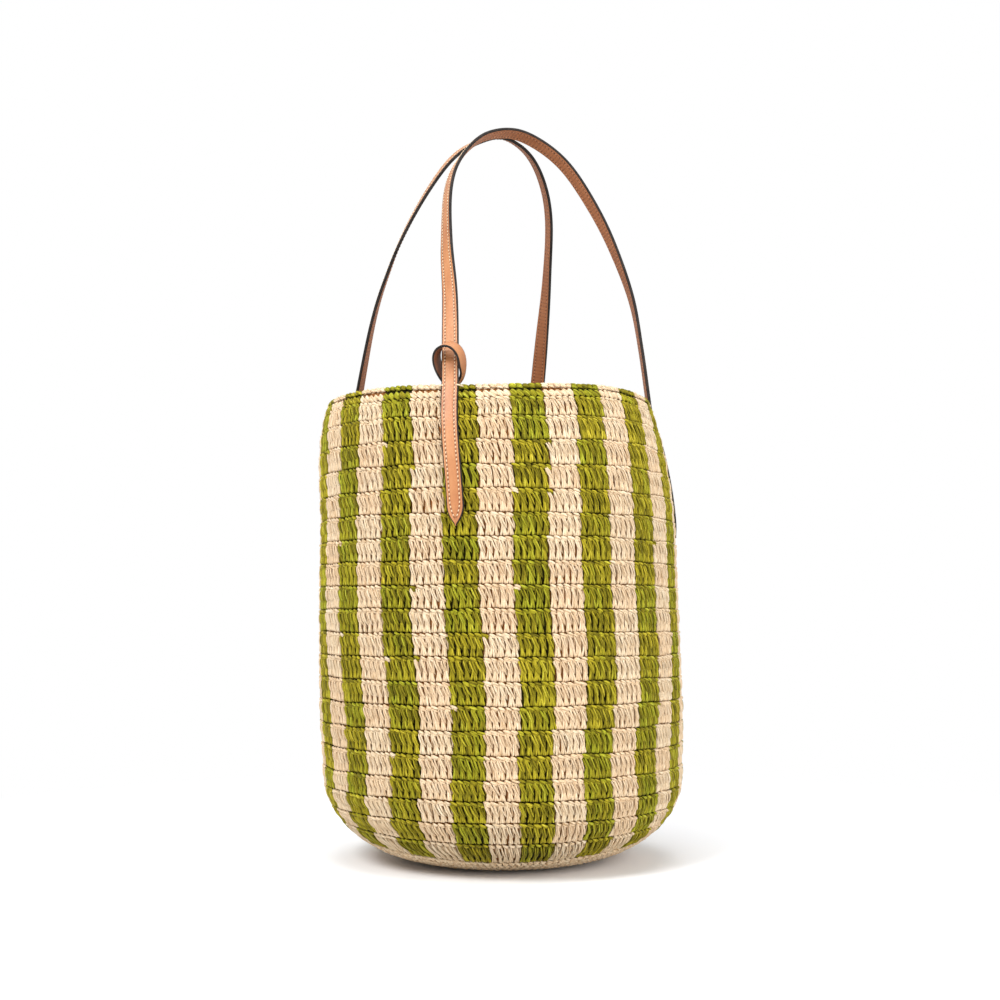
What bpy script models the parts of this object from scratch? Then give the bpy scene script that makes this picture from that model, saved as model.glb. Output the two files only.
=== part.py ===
"""Crocheted raffia bucket tote with two leather handles. Metres, +Z up, the front handle towards -Y."""

import math

import bmesh
import bpy
import numpy as np
from mathutils import Matrix, Vector
from mathutils.geometry import interpolate_bezier

# Bag body: a round base, a rounded bottom corner, a full belly and a drawn-in rim
BASE_RADIUS = 0.047  # flat part of the base
CORNER_RADIUS = 0.1335  # where the rounded bottom corner ends
CORNER_HEIGHT = 0.065
BELLY_RADIUS = 0.1353
BELLY_RISE = 0.045  # above the bottom corner
SHOULDER_RADIUS = 0.1333
SHOULDER_DROP = 0.074  # below the rim
NECK_RADIUS = 0.130
NECK_DROP = 0.032  # below the rim
RIM_RADIUS = 0.1224
RIM_HEIGHT = 0.336
LEAN_ANGLE = math.radians(-118.5)  # the bag leans this way, measured from the front
WAIST_LEAN = 0.0041  # how far the waist's centre sits off the base's centre
RIM_LEAN = 0.0110  # how far the rim's centre sits off the base's centre
WAIST_DROP = 0.100  # from the rim to the waist, where the rim's extra lean starts
WALL_THICKNESS = 0.0035
BASE_EDGE_HEIGHT = 0.011  # plain rounds of the base that show below the stripes
RIM_ROUND = 0.0045  # height of each of the two rounds that finish the rim
CROCHET_GAP = 0.0003  # between crocheted pieces
WALL_ROUNDS = 20  # crocheted rounds of the striped wall

# Strap: a stitched leather face over a thinner lining
STRAP_WIDTH = 0.012
FACE_THICKNESS = 0.0011
LINING_THICKNESS = 0.0010
LAYER_GAP = 0.0003
SEAT_GAP = 0.0005  # between leather and the crochet that it lies on
STITCH_INSET = 0.0025  # from the strap's edge
THREAD_RADIUS = 0.00035
THREAD_GAP = 0.0003

# Feet: where each handle's ends cross the rim, measured from the way the handle faces
FRONT_LEFT_FOOT_ANGLE = math.radians(40.3)
FRONT_RIGHT_FOOT_ANGLE = math.radians(65)
REAR_LEFT_FOOT_ANGLE = math.radians(45.5)
REAR_RIGHT_FOOT_ANGLE = math.radians(33.5)

# Tabs: the strap's pointed ends, sewn on the outside of the wall
TAB_LENGTH = 0.097  # below the rim
TAB_POINT = 0.014  # length of the pointed tip
POINT_WIDTH = 0.0012
TAB_CLEARANCE = 0.002  # the tab stops this far below the hinge line
TACK_DROP = 0.0045  # below the rim
TACK_RADIUS = 0.0005
TACK_REACH = 0.0014  # inwards over the strap, from its edge
TACK_STEP = 0.0025  # outwards past the strap's edge
BACKING_MARGIN = 0.001  # each side of the strap's width
BACKING_LENGTH = 0.077
BACKING_DROP = 0.013  # from the rim to the patch's top
BACKING_THICKNESS = 0.0012
BACKING_CORNER = 0.0035  # rounding of the patch's ends

# Handles: arches that lean inwards and meet over the bag
HANDLE_RISE = 0.2190  # above the rim
HANDLES_APART = 0.0128  # between the two straps' middles at the top
LEG_CLEARANCE = 0.004  # the leg starts this far above the hinge line
LEG_CUT = 0.014  # slanted cut of the leg's front edge, which clears the tab as the handle swings

# Each arch, from its left foot to its right: (share of the way across, share of the rise)
ARCHES = {
    "front": (
        (0.073, 0.301), (0.107, 0.514), (0.160, 0.724), (0.237, 0.854), (0.358, 0.959), (0.502, 1.0),
        (0.630, 0.971), (0.745, 0.893), (0.848, 0.749), (0.921, 0.602), (0.981, 0.418), (0.997, 0.230),
    ),
    "rear": (
        (0.051, 0.333), (0.087, 0.545), (0.139, 0.751), (0.221, 0.881), (0.335, 0.966), (0.480, 1.0),
        (0.620, 0.965), (0.718, 0.908), (0.808, 0.802), (0.890, 0.664), (0.944, 0.526), (0.985, 0.340),
    ),
}
TOP_SKEWS = {"front": -0.011, "rear": -0.105}  # slope of each arch's top, seen from above
# Each leg, left then right: heights above the rim where its turn into the arch starts and ends
TWISTS = {"front": ((0.012, 0.150), (0.050, 0.210)), "rear": ((0.012, 0.150), (-0.120, 0.300))}
FACING = {"front": 0.0, "rear": math.pi}
FEET = {
    "front": (FRONT_LEFT_FOOT_ANGLE, FRONT_RIGHT_FOOT_ANGLE),
    "rear": (REAR_LEFT_FOOT_ANGLE, REAR_RIGHT_FOOT_ANGLE),
}

# Keeper loop: a leather band round the left leg of each handle, just above the rim
LOOP_BAND = 0.007  # width of the band
LOOP_THICKNESS = 0.0016
LOOP_CLEARANCE = 0.0036  # between the strap's edges and the band
LOOP_BACK_SLACK = 0.0045  # between the strap's lining and the band
LOOP_FRONT_SLACK = 0.006  # between the strap's face and the band
LOOP_LIFT = 0.0045  # along the strap, from the rim to the band's low end
LOOP_TALL = 0.018  # along the strap, from the band's low end to its top
LOOP_TURN_ANGLE = math.radians(-20)
LOOP_EGG_SHARE = 0.25  # how much wider the loop is at its top than at its bottom

# Colours as red, green and blue from 0 to 255, each with its roughness
STRIPED_RAFFIA = ((193, 188, 115), 0.75)
NATURAL_RAFFIA = ((235, 215, 185), 0.75)
TAN_LEATHER = ((222, 145, 95), 0.45)
BROWN_LEATHER = ((170, 105, 70), 0.6)
CREAM_THREAD = ((240, 225, 200), 0.7)

# How finely the shapes are divided
SEGMENTS = 56  # facets round the bag
EDGE_STEPS = 6  # up the plain rounds of the base
RIM_SIDES = 8  # of each rim round's section
POINT_STEPS = 5  # along a tab's tip
TAB_STEPS = 9  # along the rest of a tab
BACKING_STEPS = 12
STRAP_STEPS = 44  # along a handle
LOOP_STEPS = 28  # round a keeper loop
CURVE_STEPS = 24  # between two points of a route, before it is divided evenly
SLOPE_STEP = 1e-5
FLAT_ANGLE = math.radians(40)  # edges sharper than this are shaded sharp
WELD = 1e-6


def start_scene():
    for obj in list(bpy.data.objects):
        bpy.data.objects.remove(obj, do_unlink=True)
    collection = bpy.data.collections.new("raffia_bucket_tote")
    bpy.context.scene.collection.children.link(collection)
    layers = bpy.context.view_layer.layer_collection.children
    bpy.context.view_layer.active_layer_collection = layers[collection.name]


def linear(channel):
    value = channel / 255
    return value / 12.92 if value <= 0.04045 else ((value + 0.055) / 1.055) ** 2.4


def finish_object(obj, name, finish, parent=None):
    colour, roughness = finish
    obj.name = name
    material = bpy.data.materials.new(name)
    material.use_nodes = True
    shader = material.node_tree.nodes["Principled BSDF"]
    shader.inputs["Base Color"].default_value = (*map(linear, colour), 1)
    shader.inputs["Roughness"].default_value = roughness
    shader.inputs["Metallic"].default_value = 0
    obj.data.materials.append(material)
    obj.parent = parent
    if obj.type == "MESH":
        obj.data.shade_smooth()
        obj.data.set_sharp_from_angle(angle=FLAT_ANGLE)
    return obj


def new_object(name, data, finish, parent=None):
    obj = bpy.data.objects.new(name, data)
    bpy.context.collection.objects.link(obj)
    return finish_object(obj, name, finish, parent)


def local_points(points, parent):
    if parent is None:
        return points
    inwards = parent.matrix_basis.inverted()
    return [inwards @ point for point in points]


def add_grid(name, rows, finish, parent=None):
    """A surface through rows of points; rows or columns that meet are welded."""
    grid = bmesh.new()
    bmesh.ops.create_grid(grid, x_segments=len(rows[0]) - 1, y_segments=len(rows) - 1, size=1)
    points = local_points([point for row in rows for point in row], parent)
    for vert, point in zip(grid.verts, points):
        vert.co = point
    bmesh.ops.remove_doubles(grid, verts=grid.verts, dist=WELD)
    data = bpy.data.meshes.new(name)
    grid.to_mesh(data)
    grid.free()
    return new_object(name, data, finish, parent)


def add_sheet(name, rows, thickness, finish, parent=None):
    """A sheet through rows of points, thickened towards the side that columns x rows face."""
    obj = add_grid(name, rows, finish, parent)
    shell = obj.modifiers.new("thickness", "SOLIDIFY")
    shell.thickness = thickness
    shell.offset = 1
    shell.use_even_offset = True


def add_thread(name, points, radius, finish, parent=None):
    curve = bpy.data.curves.new(name, "CURVE")
    curve.dimensions = "3D"
    curve.bevel_depth = radius
    curve.bevel_resolution = 0
    curve.use_fill_caps = True
    spline = curve.splines.new("POLY")
    spline.points.add(len(points) - 1)
    for slot, point in zip(spline.points, local_points(points, parent)):
        slot.co = (*point, 1)
    return new_object(name, curve, finish, parent)


def smooth_step(value):
    value = min(max(value, 0.0), 1.0)
    return value * value * (3 - 2 * value)


# The wall's outer surface


def upper_radius(height):
    """A smooth curve through the corner, belly, shoulder, neck and rim."""
    knots = (
        (CORNER_HEIGHT, CORNER_RADIUS),
        (CORNER_HEIGHT + BELLY_RISE, BELLY_RADIUS),
        (RIM_HEIGHT - SHOULDER_DROP, SHOULDER_RADIUS),
        (RIM_HEIGHT - NECK_DROP, NECK_RADIUS),
        (RIM_HEIGHT, RIM_RADIUS),
    )
    slopes = [0.0]
    for before, after in zip(knots, knots[2:]):
        slopes.append((after[1] - before[1]) / (after[0] - before[0]))
    slopes.append((RIM_RADIUS - NECK_RADIUS) / NECK_DROP)
    index = 0
    while index < len(knots) - 2 and height > knots[index + 1][0]:
        index += 1
    (low, low_radius), (high, high_radius) = knots[index], knots[index + 1]
    span = high - low
    share = (height - low) / span
    rest = 1 - share
    return (
        rest * rest * (1 + 2 * share) * low_radius
        + share * rest * rest * span * slopes[index]
        + share * share * (1 + 2 * rest) * high_radius
        - share * share * rest * span * slopes[index + 1]
    )


def wall_radius(height):
    if height >= CORNER_HEIGHT:
        return upper_radius(height)
    below = 1 - height / CORNER_HEIGHT
    return BASE_RADIUS + (CORNER_RADIUS - BASE_RADIUS) * math.sqrt(1 - below * below)


def wall_slope(height):
    rise = wall_radius(height + SLOPE_STEP) - wall_radius(height - SLOPE_STEP)
    return rise / (2 * SLOPE_STEP)


def lean(height):
    """How far the wall's centre sits off the base's at this height."""
    waist = RIM_HEIGHT - WAIST_DROP
    low = smooth_step((height - BASE_EDGE_HEIGHT) / (waist - BASE_EDGE_HEIGHT))
    high = smooth_step((height - waist) / WAIST_DROP)
    away = WAIST_LEAN * low + (RIM_LEAN - WAIST_LEAN) * high
    return Vector((math.sin(LEAN_ANGLE), -math.cos(LEAN_ANGLE), 0)) * away


def wall_point(azimuth, height, out=0.0, across=0.0):
    """A point off the wall. Azimuth 0 is the front; across runs round the bag, towards greater azimuth."""
    slope = wall_slope(height)
    level = 1 / math.hypot(1, slope)
    radius = wall_radius(height) + out * level
    turn = azimuth + across / radius
    place = Vector((radius * math.sin(turn), -radius * math.cos(turn), height - out * slope * level))
    return place + lean(height)


def even_heights(low, high, count):
    """Heights that divide the wall's slope into equal lengths."""
    heights = np.linspace(low, high, CURVE_STEPS * count + 1)
    radii = [wall_radius(height) for height in heights]
    lengths = np.concatenate([[0], np.cumsum(np.hypot(np.diff(heights), np.diff(radii)))])
    return [float(h) for h in np.interp(np.linspace(0, lengths[-1], count + 1), lengths, heights)]


# Bag pieces


def make_base_disc():
    bpy.ops.mesh.primitive_cylinder_add(
        vertices=SEGMENTS,
        radius=BASE_RADIUS - CROCHET_GAP,
        depth=WALL_THICKNESS,
        location=(0, 0, WALL_THICKNESS / 2),
    )
    finish_object(bpy.context.object, "base_disc", NATURAL_RAFFIA)


def make_base_edge():
    """The plain outer rounds of the base, turned from a slice of the rounded corner."""
    across = CORNER_RADIUS - BASE_RADIUS
    end = math.acos(1 - BASE_EDGE_HEIGHT / CORNER_HEIGHT)
    outer = []
    inner = []
    for step in range(EDGE_STEPS + 1):
        turn = end * step / EDGE_STEPS
        place = Vector((BASE_RADIUS + across * math.sin(turn), 0, CORNER_HEIGHT * (1 - math.cos(turn))))
        out = Vector((math.sin(turn) / across, 0, -math.cos(turn) / CORNER_HEIGHT)).normalized()
        outer.append(place)
        inner.append(place - WALL_THICKNESS * out)
    profile = outer[::-1] + inner
    data = bpy.data.meshes.new("base_edge")
    edges = [(i, (i + 1) % len(profile)) for i in range(len(profile))]
    data.from_pydata(profile, edges, [])
    obj = new_object("base_edge", data, NATURAL_RAFFIA)
    turned = obj.modifiers.new("turned", "SCREW")
    turned.steps = SEGMENTS
    turned.render_steps = SEGMENTS
    turned.use_merge_vertices = True
    turned.merge_threshold = WELD


def make_side_wall():
    """The striped wall, lofted up its outer side and down its inner one, a ring for each crocheted round."""
    low = BASE_EDGE_HEIGHT + CROCHET_GAP
    high = RIM_HEIGHT - 2 * (RIM_ROUND + CROCHET_GAP)
    turns = [2 * math.pi * i / SEGMENTS for i in range(SEGMENTS + 1)]
    heights = even_heights(low, high, WALL_ROUNDS)
    rings = [(height, 0) for height in heights]
    rings += [(height, -WALL_THICKNESS) for height in heights[::-1]]
    rows = [[wall_point(turn, height, out) for turn in turns] for height, out in rings + rings[:1]]
    add_grid("side_wall", rows, STRIPED_RAFFIA)


def make_rim_rounds():
    section = RIM_ROUND / 2
    for name, place in (("rim_lower_round", 1), ("rim_upper_round", 0)):
        height = RIM_HEIGHT - section - place * (RIM_ROUND + CROCHET_GAP)
        bpy.ops.mesh.primitive_torus_add(
            major_segments=SEGMENTS,
            minor_segments=RIM_SIDES,
            major_radius=wall_radius(height) - section,
            minor_radius=section,
            location=lean(height) + Vector((0, 0, height)),
        )
        finish_object(bpy.context.object, name, STRIPED_RAFFIA)


# Strap ends on the wall

MIDDLE_OUT = SEAT_GAP + LINING_THICKNESS + LAYER_GAP / 2
FACE_OUT = SEAT_GAP + LINING_THICKNESS + LAYER_GAP
THREAD_OUT = FACE_OUT + FACE_THICKNESS + THREAD_GAP + THREAD_RADIUS


def pointed_width(distance, width, point):
    """Half the width of a strap end, this far from its pointed tip."""
    rest = 1 - min(distance / point, 1)
    return max(width * (1 - rest * rest), POINT_WIDTH) / 2


def tab_heights(tip, top):
    return even_heights(tip, tip + TAB_POINT, POINT_STEPS) + even_heights(tip + TAB_POINT, top, TAB_STEPS)[1:]


def make_tab(name, azimuth):
    top = RIM_HEIGHT - TAB_CLEARANCE
    tip = RIM_HEIGHT - TAB_LENGTH
    heights = tab_heights(tip, top)
    layers = (
        ("face", FACE_OUT, FACE_THICKNESS, TAN_LEATHER),
        ("lining", SEAT_GAP, LINING_THICKNESS, BROWN_LEATHER),
    )
    for layer, out, thickness, finish in layers:
        rows = []
        for height in heights:
            half = pointed_width(height - tip, STRAP_WIDTH, TAB_POINT)
            rows.append([wall_point(azimuth, height, out, side * half) for side in (-1, 0, 1)])
        add_sheet(f"{name}_tab_{layer}", rows, thickness, finish)
    sewn = STRAP_WIDTH - 2 * STITCH_INSET
    start = tip + 2 * STITCH_INSET
    down = []
    for height in tab_heights(start, top):
        down.append((height, pointed_width(height - start, sewn, TAB_POINT)))
    left = [wall_point(azimuth, height, THREAD_OUT, -half) for height, half in down[::-1]]
    right = [wall_point(azimuth, height, THREAD_OUT, half) for height, half in down]
    add_thread(f"{name}_tab_stitching", left + right, THREAD_RADIUS, CREAM_THREAD)


def make_tacks(name, azimuth):
    """Two thick thread tacks that hold the strap's edges to the rim."""
    height = RIM_HEIGHT - TACK_DROP
    edge = STRAP_WIDTH / 2
    low = SEAT_GAP + TACK_RADIUS
    high = FACE_OUT + FACE_THICKNESS + THREAD_GAP + TACK_RADIUS
    beside = edge + THREAD_GAP + TACK_RADIUS
    for side, word in ((-1, "left"), (1, "right")):
        route = ((edge - TACK_REACH, high), (beside, high), (edge + TACK_STEP, low))
        points = [wall_point(azimuth, height, out, side * across) for across, out in route]
        add_thread(f"{name}_{word}_tack", points, TACK_RADIUS, CREAM_THREAD)


def make_backing(name, azimuth):
    """A leather patch inside the wall, which takes the tab's stitches."""
    top = RIM_HEIGHT - BACKING_DROP
    width = STRAP_WIDTH + 2 * BACKING_MARGIN
    out = -(WALL_THICKNESS + SEAT_GAP + BACKING_THICKNESS)
    rows = []
    for height in even_heights(top - BACKING_LENGTH, top, BACKING_STEPS):
        end = min(top - height, height - top + BACKING_LENGTH)
        half = pointed_width(end + BACKING_CORNER, width, 2 * BACKING_CORNER)
        rows.append([wall_point(azimuth, height, out, side * half) for side in (-1, 0, 1)])
    add_sheet(f"{name}_backing", rows, BACKING_THICKNESS, BROWN_LEATHER)


# Handles


def handle_frame(facing):
    """From a handle's own frame, which faces -Y about the rim's centre, to the bag's."""
    return Matrix.Translation(lean(RIM_HEIGHT)) @ Matrix.Rotation(facing, 4, "Z")


def own_foot(azimuth):
    """Where the strap's middle crosses the rim, in the handle's own frame."""
    return wall_point(azimuth, RIM_HEIGHT, MIDDLE_OUT) - lean(RIM_HEIGHT)


def smooth_route(points, steps, trim):
    """Evenly spaced points on a smooth curve through the given ones, with this much cut off each end."""
    ends = [2 * points[0] - points[1]] + points + [2 * points[-1] - points[-2]]
    fine = []
    for before, start, stop, after in zip(ends, ends[1:], ends[2:], ends[3:]):
        leave = start + (stop - before) / 6
        arrive = stop - (after - start) / 6
        fine += interpolate_bezier(start, leave, arrive, stop, CURVE_STEPS)[:-1]
    fine.append(points[-1])
    lengths = np.concatenate([[0], np.cumsum([(b - a).length for a, b in zip(fine, fine[1:])])])
    wanted = np.linspace(trim, lengths[-1] - trim, steps + 1)
    axes = [np.interp(wanted, lengths, [point[i] for point in fine]) for i in range(3)]
    return [Vector(place) for place in zip(*axes)]


def arch_frames(name):
    """Along the strap: (middle, towards the front edge, towards the face, distance to the nearer foot)."""
    left_foot, right_foot = FEET[name]
    left = own_foot(-left_foot)
    right = own_foot(right_foot)
    span = right - left
    skew = span.y / span.x
    middle = (left + right) / 2
    top_skew = TOP_SKEWS[name]

    def depth(x, up):
        """Y on the curved sheet that holds the arch: through both feet, and inwards at the top."""
        lean_in = middle.y * (1 - up) - HANDLES_APART / 2 * up
        return lean_in + (skew * (1 - up) + top_skew * up) * (x - middle.x)

    points = [left]
    for across, up in ARCHES[name]:
        x = left.x + across * span.x
        points.append(Vector((x, depth(x, up), left.z + up * HANDLE_RISE)))
    points.append(right)
    route = smooth_route(points, STRAP_STEPS, LEG_CLEARANCE)
    left_leg = (Vector((math.cos(left_foot), -math.sin(left_foot), 0)), TWISTS[name][0])
    right_leg = (Vector((-math.cos(right_foot), -math.sin(right_foot), 0)), TWISTS[name][1])
    step = (route[1] - route[0]).length
    frames = []
    for index, place in enumerate(route):
        along = (route[min(index + 1, STRAP_STEPS)] - route[max(index - 1, 0)]).normalized()
        foot_side, (twist_start, twist_end) = left_leg if index < STRAP_STEPS / 2 else right_leg
        rise = place.z - left.z
        turned = smooth_step((rise - twist_start) / (twist_end - twist_start))
        up = rise / HANDLE_RISE
        steep = (depth(place.x, 1) - depth(place.x, 0)) / HANDLE_RISE
        arch_side = Vector((skew * (1 - up) + top_skew * up, -1, steep)).normalized()
        side = foot_side.lerp(arch_side, turned)
        side = (side - along * side.dot(along)).normalized()
        distance = LEG_CLEARANCE + step * min(index, STRAP_STEPS - index)
        frames.append((place, side, side.cross(along), distance))
    return frames


def leg_rows(frames, out, to_bag):
    """Rows across the strap. Near each foot the front edge is cut away on a slant."""
    half = STRAP_WIDTH / 2
    rows = []
    for place, side, face, distance in frames:
        front = half * min(max((distance - LEG_CLEARANCE) / LEG_CUT, 0), 1)
        row = [place + side * across + face * out for across in (-half, (front - half) / 2, front)]
        rows.append([to_bag @ point for point in row])
    return rows


def make_handle(name, hinge, to_bag):
    frames = arch_frames(name)
    face_out = LAYER_GAP / 2
    lining_out = -face_out - LINING_THICKNESS
    rows = leg_rows(frames, face_out, to_bag)
    add_sheet(f"{name}_handle_face", rows, FACE_THICKNESS, TAN_LEATHER, hinge)
    rows = leg_rows(frames, lining_out, to_bag)
    add_sheet(f"{name}_handle_lining", rows, LINING_THICKNESS, BROWN_LEATHER, hinge)
    sewn = STRAP_WIDTH / 2 - STITCH_INSET
    out = face_out + FACE_THICKNESS + THREAD_GAP + THREAD_RADIUS
    for side_word, sign in (("front", 1), ("back", -1)):
        points = []
        for place, side, face, distance in frames:
            if distance >= LEG_CLEARANCE + LEG_CUT:
                points.append(to_bag @ (place + side * sign * sewn + face * out))
        add_thread(f"{name}_handle_{side_word}_stitching", points, THREAD_RADIUS, CREAM_THREAD, hinge)


def frame_at(frames, distance):
    """The strap's middle, side and face this far along it from its left foot."""
    first = frames[0][3]
    step = frames[1][3] - first
    index = int((distance - first) / step)
    share = (distance - first) / step - index
    return [a.lerp(b, share) for a, b in zip(frames[index][:3], frames[index + 1][:3])]


def make_loop(name, hinge, to_bag):
    """An egg-shaped band that stands behind the strap at its low end and closes in front of it."""
    frames = arch_frames(name)
    behind = LAYER_GAP / 2 + LINING_THICKNESS + LOOP_BACK_SLACK + LOOP_BAND / 2
    stitches = THREAD_GAP + 2 * THREAD_RADIUS
    before = LAYER_GAP / 2 + FACE_THICKNESS + stitches + LOOP_FRONT_SLACK + LOOP_BAND / 2
    place, side, face = frame_at(frames, LOOP_LIFT)
    low = place - face * behind
    place, _, face = frame_at(frames, LOOP_LIFT + LOOP_TALL)
    tall = place + face * before - low
    wide = Matrix.Rotation(LOOP_TURN_ANGLE, 3, tall) @ side
    wide = (wide - tall * (wide.dot(tall) / tall.length_squared)).normalized()
    tunnel = wide.cross(tall).normalized()
    half = STRAP_WIDTH / 2 + LOOP_CLEARANCE
    rows = []
    for step in range(LOOP_STEPS + 1):
        turn = 2 * math.pi * step / LOOP_STEPS
        x = half * math.sin(turn) * (1 - LOOP_EGG_SHARE * math.cos(turn))
        middle = low + wide * x + tall * (1 - math.cos(turn)) / 2
        row = [middle + tunnel * share * LOOP_BAND for share in (-0.5, 0, 0.5)]
        rows.append([to_bag @ point for point in row])
    add_sheet(f"{name}_keeper_loop", rows, LOOP_THICKNESS, TAN_LEATHER, hinge)


def make_hinge(name, to_bag):
    """An empty on the line through a handle's two feet, its X axis along that line."""
    left = own_foot(-FEET[name][0])
    right = own_foot(FEET[name][1])
    hinge = bpy.data.objects.new(f"{name}_handle_hinge", None)
    bpy.context.collection.objects.link(hinge)
    skew = Matrix.Rotation(math.atan2(right.y - left.y, right.x - left.x), 4, "Z")
    hinge.matrix_basis = to_bag @ Matrix.Translation((left + right) / 2) @ skew
    return hinge


def main():
    start_scene()
    make_base_disc()
    make_base_edge()
    make_side_wall()
    make_rim_rounds()
    for name, facing in FACING.items():
        for side, azimuth in (("left", facing - FEET[name][0]), ("right", facing + FEET[name][1])):
            make_tab(f"{name}_{side}", azimuth)
            make_tacks(f"{name}_{side}", azimuth)
            make_backing(f"{name}_{side}", azimuth)
        to_bag = handle_frame(facing)
        hinge = make_hinge(name, to_bag)
        make_handle(name, hinge, to_bag)
        make_loop(name, hinge, to_bag)


main()
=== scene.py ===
"""A crocheted raffia bucket tote with stitched leather handles: its strands, leather, light and camera."""

import math

import bpy
import numpy as np
from mathutils import Matrix, Vector
from mathutils.geometry import interpolate_bezier


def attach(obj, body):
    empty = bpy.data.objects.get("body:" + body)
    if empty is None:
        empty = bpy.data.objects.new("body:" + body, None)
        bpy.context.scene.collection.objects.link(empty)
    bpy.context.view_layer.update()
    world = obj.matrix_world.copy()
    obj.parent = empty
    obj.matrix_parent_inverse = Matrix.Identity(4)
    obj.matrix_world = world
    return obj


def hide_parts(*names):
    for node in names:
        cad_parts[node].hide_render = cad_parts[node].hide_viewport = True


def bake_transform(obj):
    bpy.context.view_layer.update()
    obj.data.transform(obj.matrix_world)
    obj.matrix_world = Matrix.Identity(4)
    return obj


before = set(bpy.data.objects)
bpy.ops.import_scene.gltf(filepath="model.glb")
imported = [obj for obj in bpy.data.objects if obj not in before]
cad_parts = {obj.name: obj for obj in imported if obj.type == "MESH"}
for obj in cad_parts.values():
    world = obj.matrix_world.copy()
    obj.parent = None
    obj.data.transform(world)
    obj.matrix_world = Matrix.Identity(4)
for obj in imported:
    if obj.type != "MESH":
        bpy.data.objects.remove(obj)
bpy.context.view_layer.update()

MM = 0.001

# The bag's shape, as in the solid model
BASE_RADIUS = 0.047
CORNER_RADIUS = 0.1335
CORNER_HEIGHT = 0.065
BELLY_RADIUS = 0.1353
BELLY_RISE = 0.045
SHOULDER_RADIUS = 0.1333
SHOULDER_DROP = 0.074
NECK_RADIUS = 0.130
NECK_DROP = 0.032
RIM_RADIUS = 0.1224
RIM_HEIGHT = 0.336
LEAN_ANGLE = math.radians(-118.5)
WAIST_LEAN = 0.0041
RIM_LEAN = 0.0110
WAIST_DROP = 0.100
WALL_THICKNESS = 0.0035
BASE_EDGE_HEIGHT = 0.011

# Straps
STRAP_WIDTH = 0.012
FACE_THICKNESS = 0.0011
LINING_THICKNESS = 0.0010
LAYER_GAP = 0.0003
SEAT_GAP = 0.0005
SEAM_INSET = 0.00255  # of the sewn rows, from the strap's edge
STITCH_PITCH = 0.00286
THREAD_RADIUS = 0.00035
THREAD_GAP = 0.0003
FEET = {
    "front": (math.radians(40.3), math.radians(65)),
    "rear": (math.radians(45.5), math.radians(33.5)),
}
FACING = {"front": 0.0, "rear": math.pi}
TAB_LENGTH = 0.097
TAB_POINT = 0.014
POINT_WIDTH = 0.0012
TACK_DROP = 0.0010
TACK_REACH = 0.0014
TACK_STEP = 0.0025
BACKING_MARGIN = 0.001
BACKING_LENGTH = 0.077
BACKING_DROP = 0.013
BACKING_THICKNESS = 0.0012
BACKING_CORNER = 0.0035
HANDLE_RISE = 0.2190
HANDLES_APART = 0.0128
ARCHES = {
    "front": (
        (0.073, 0.301), (0.107, 0.514), (0.160, 0.724), (0.237, 0.854), (0.358, 0.959), (0.502, 1.0),
        (0.630, 0.971), (0.745, 0.893), (0.848, 0.749), (0.921, 0.602), (0.981, 0.418), (0.997, 0.230),
    ),
    "rear": (
        (0.051, 0.333), (0.087, 0.545), (0.139, 0.751), (0.221, 0.881), (0.335, 0.966), (0.480, 1.0),
        (0.620, 0.965), (0.718, 0.908), (0.808, 0.802), (0.890, 0.664), (0.944, 0.526), (0.985, 0.340),
    ),
}
TOP_SKEWS = {"front": -0.011, "rear": -0.105}
TWISTS = {"front": ((0.012, 0.150), (0.050, 0.210)), "rear": ((0.012, 0.150), (-0.120, 0.300))}
LOOP_BAND = 0.007
LOOP_THICKNESS = 0.0016
LOOP_CLEARANCE = 0.0036
LOOP_BACK_SLACK = 0.0045
LOOP_FRONT_SLACK = 0.006
LOOP_LIFT = 0.0045
LOOP_TALL = 0.0180
LOOP_TURN_ANGLE = math.radians(-20)
LOOP_EGG_SHARE = 0.25
LOOP_DEEPER = 0.0035  # the soft band spreads this much further back
LOOP_DRAWN_IN = 0.0014  # its right side lies closer to the strap
LOOP_CUT = 0.0038  # its low right edge is trimmed, to clear the rim when the handle is down
LOOP_CUT_ANGLE = math.radians(56)
MIDDLE_OUT = SEAT_GAP + LINING_THICKNESS + LAYER_GAP / 2

# Crochet
STRIPES = 36
STITCHES_PER_STRIPE = 5
STITCHES = STRIPES * STITCHES_PER_STRIPE
STITCH_TURN = 2 * math.pi / STITCHES
PITCH = 0.0047  # of the stitches, at the belly
WALL_ROUNDS = 20
ROUND = 0.01616  # height of a round, along the wall
FIRST_ROUND = 0.0133  # the round under the rim is shorter than the others
LOW_EDGES = (BASE_EDGE_HEIGHT, 0.0265, 0.0419, 0.0567)  # where the lowest rounds start
WALL_TOP = 0.3259  # where the rim's own rounds start
STRIPE_START = math.radians(-35.17)  # an edge where a green stripe ends and a natural one starts
UNEVEN = math.radians(1.87)  # the stripes are a little wider on one side of the bag
UNEVEN_FROM = math.radians(35)
# How far each round, from the bottom up, is pulled round the bag, in degrees: all of it, and more to one side
PULL = (1.4, 0.7, 0.4, 0.4, 0.3, 0.6, 1.1, 1.3, 1.1, 0.9, 0.4, 0.2, 0.0, -0.1, -0.1, 0.3, 0.8, 1.7, 2.5, 2.3)
SIDE_PULL = (6.3, 2.0, -0.7, -2.8, -3.6, -3.2, -2.6, -1.3, -0.4, 0.2, 0.4, 0.3, 0.3, 0.4, 0.7, 0.6, 0.3, 0.2, 1.1, 2.9)
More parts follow.
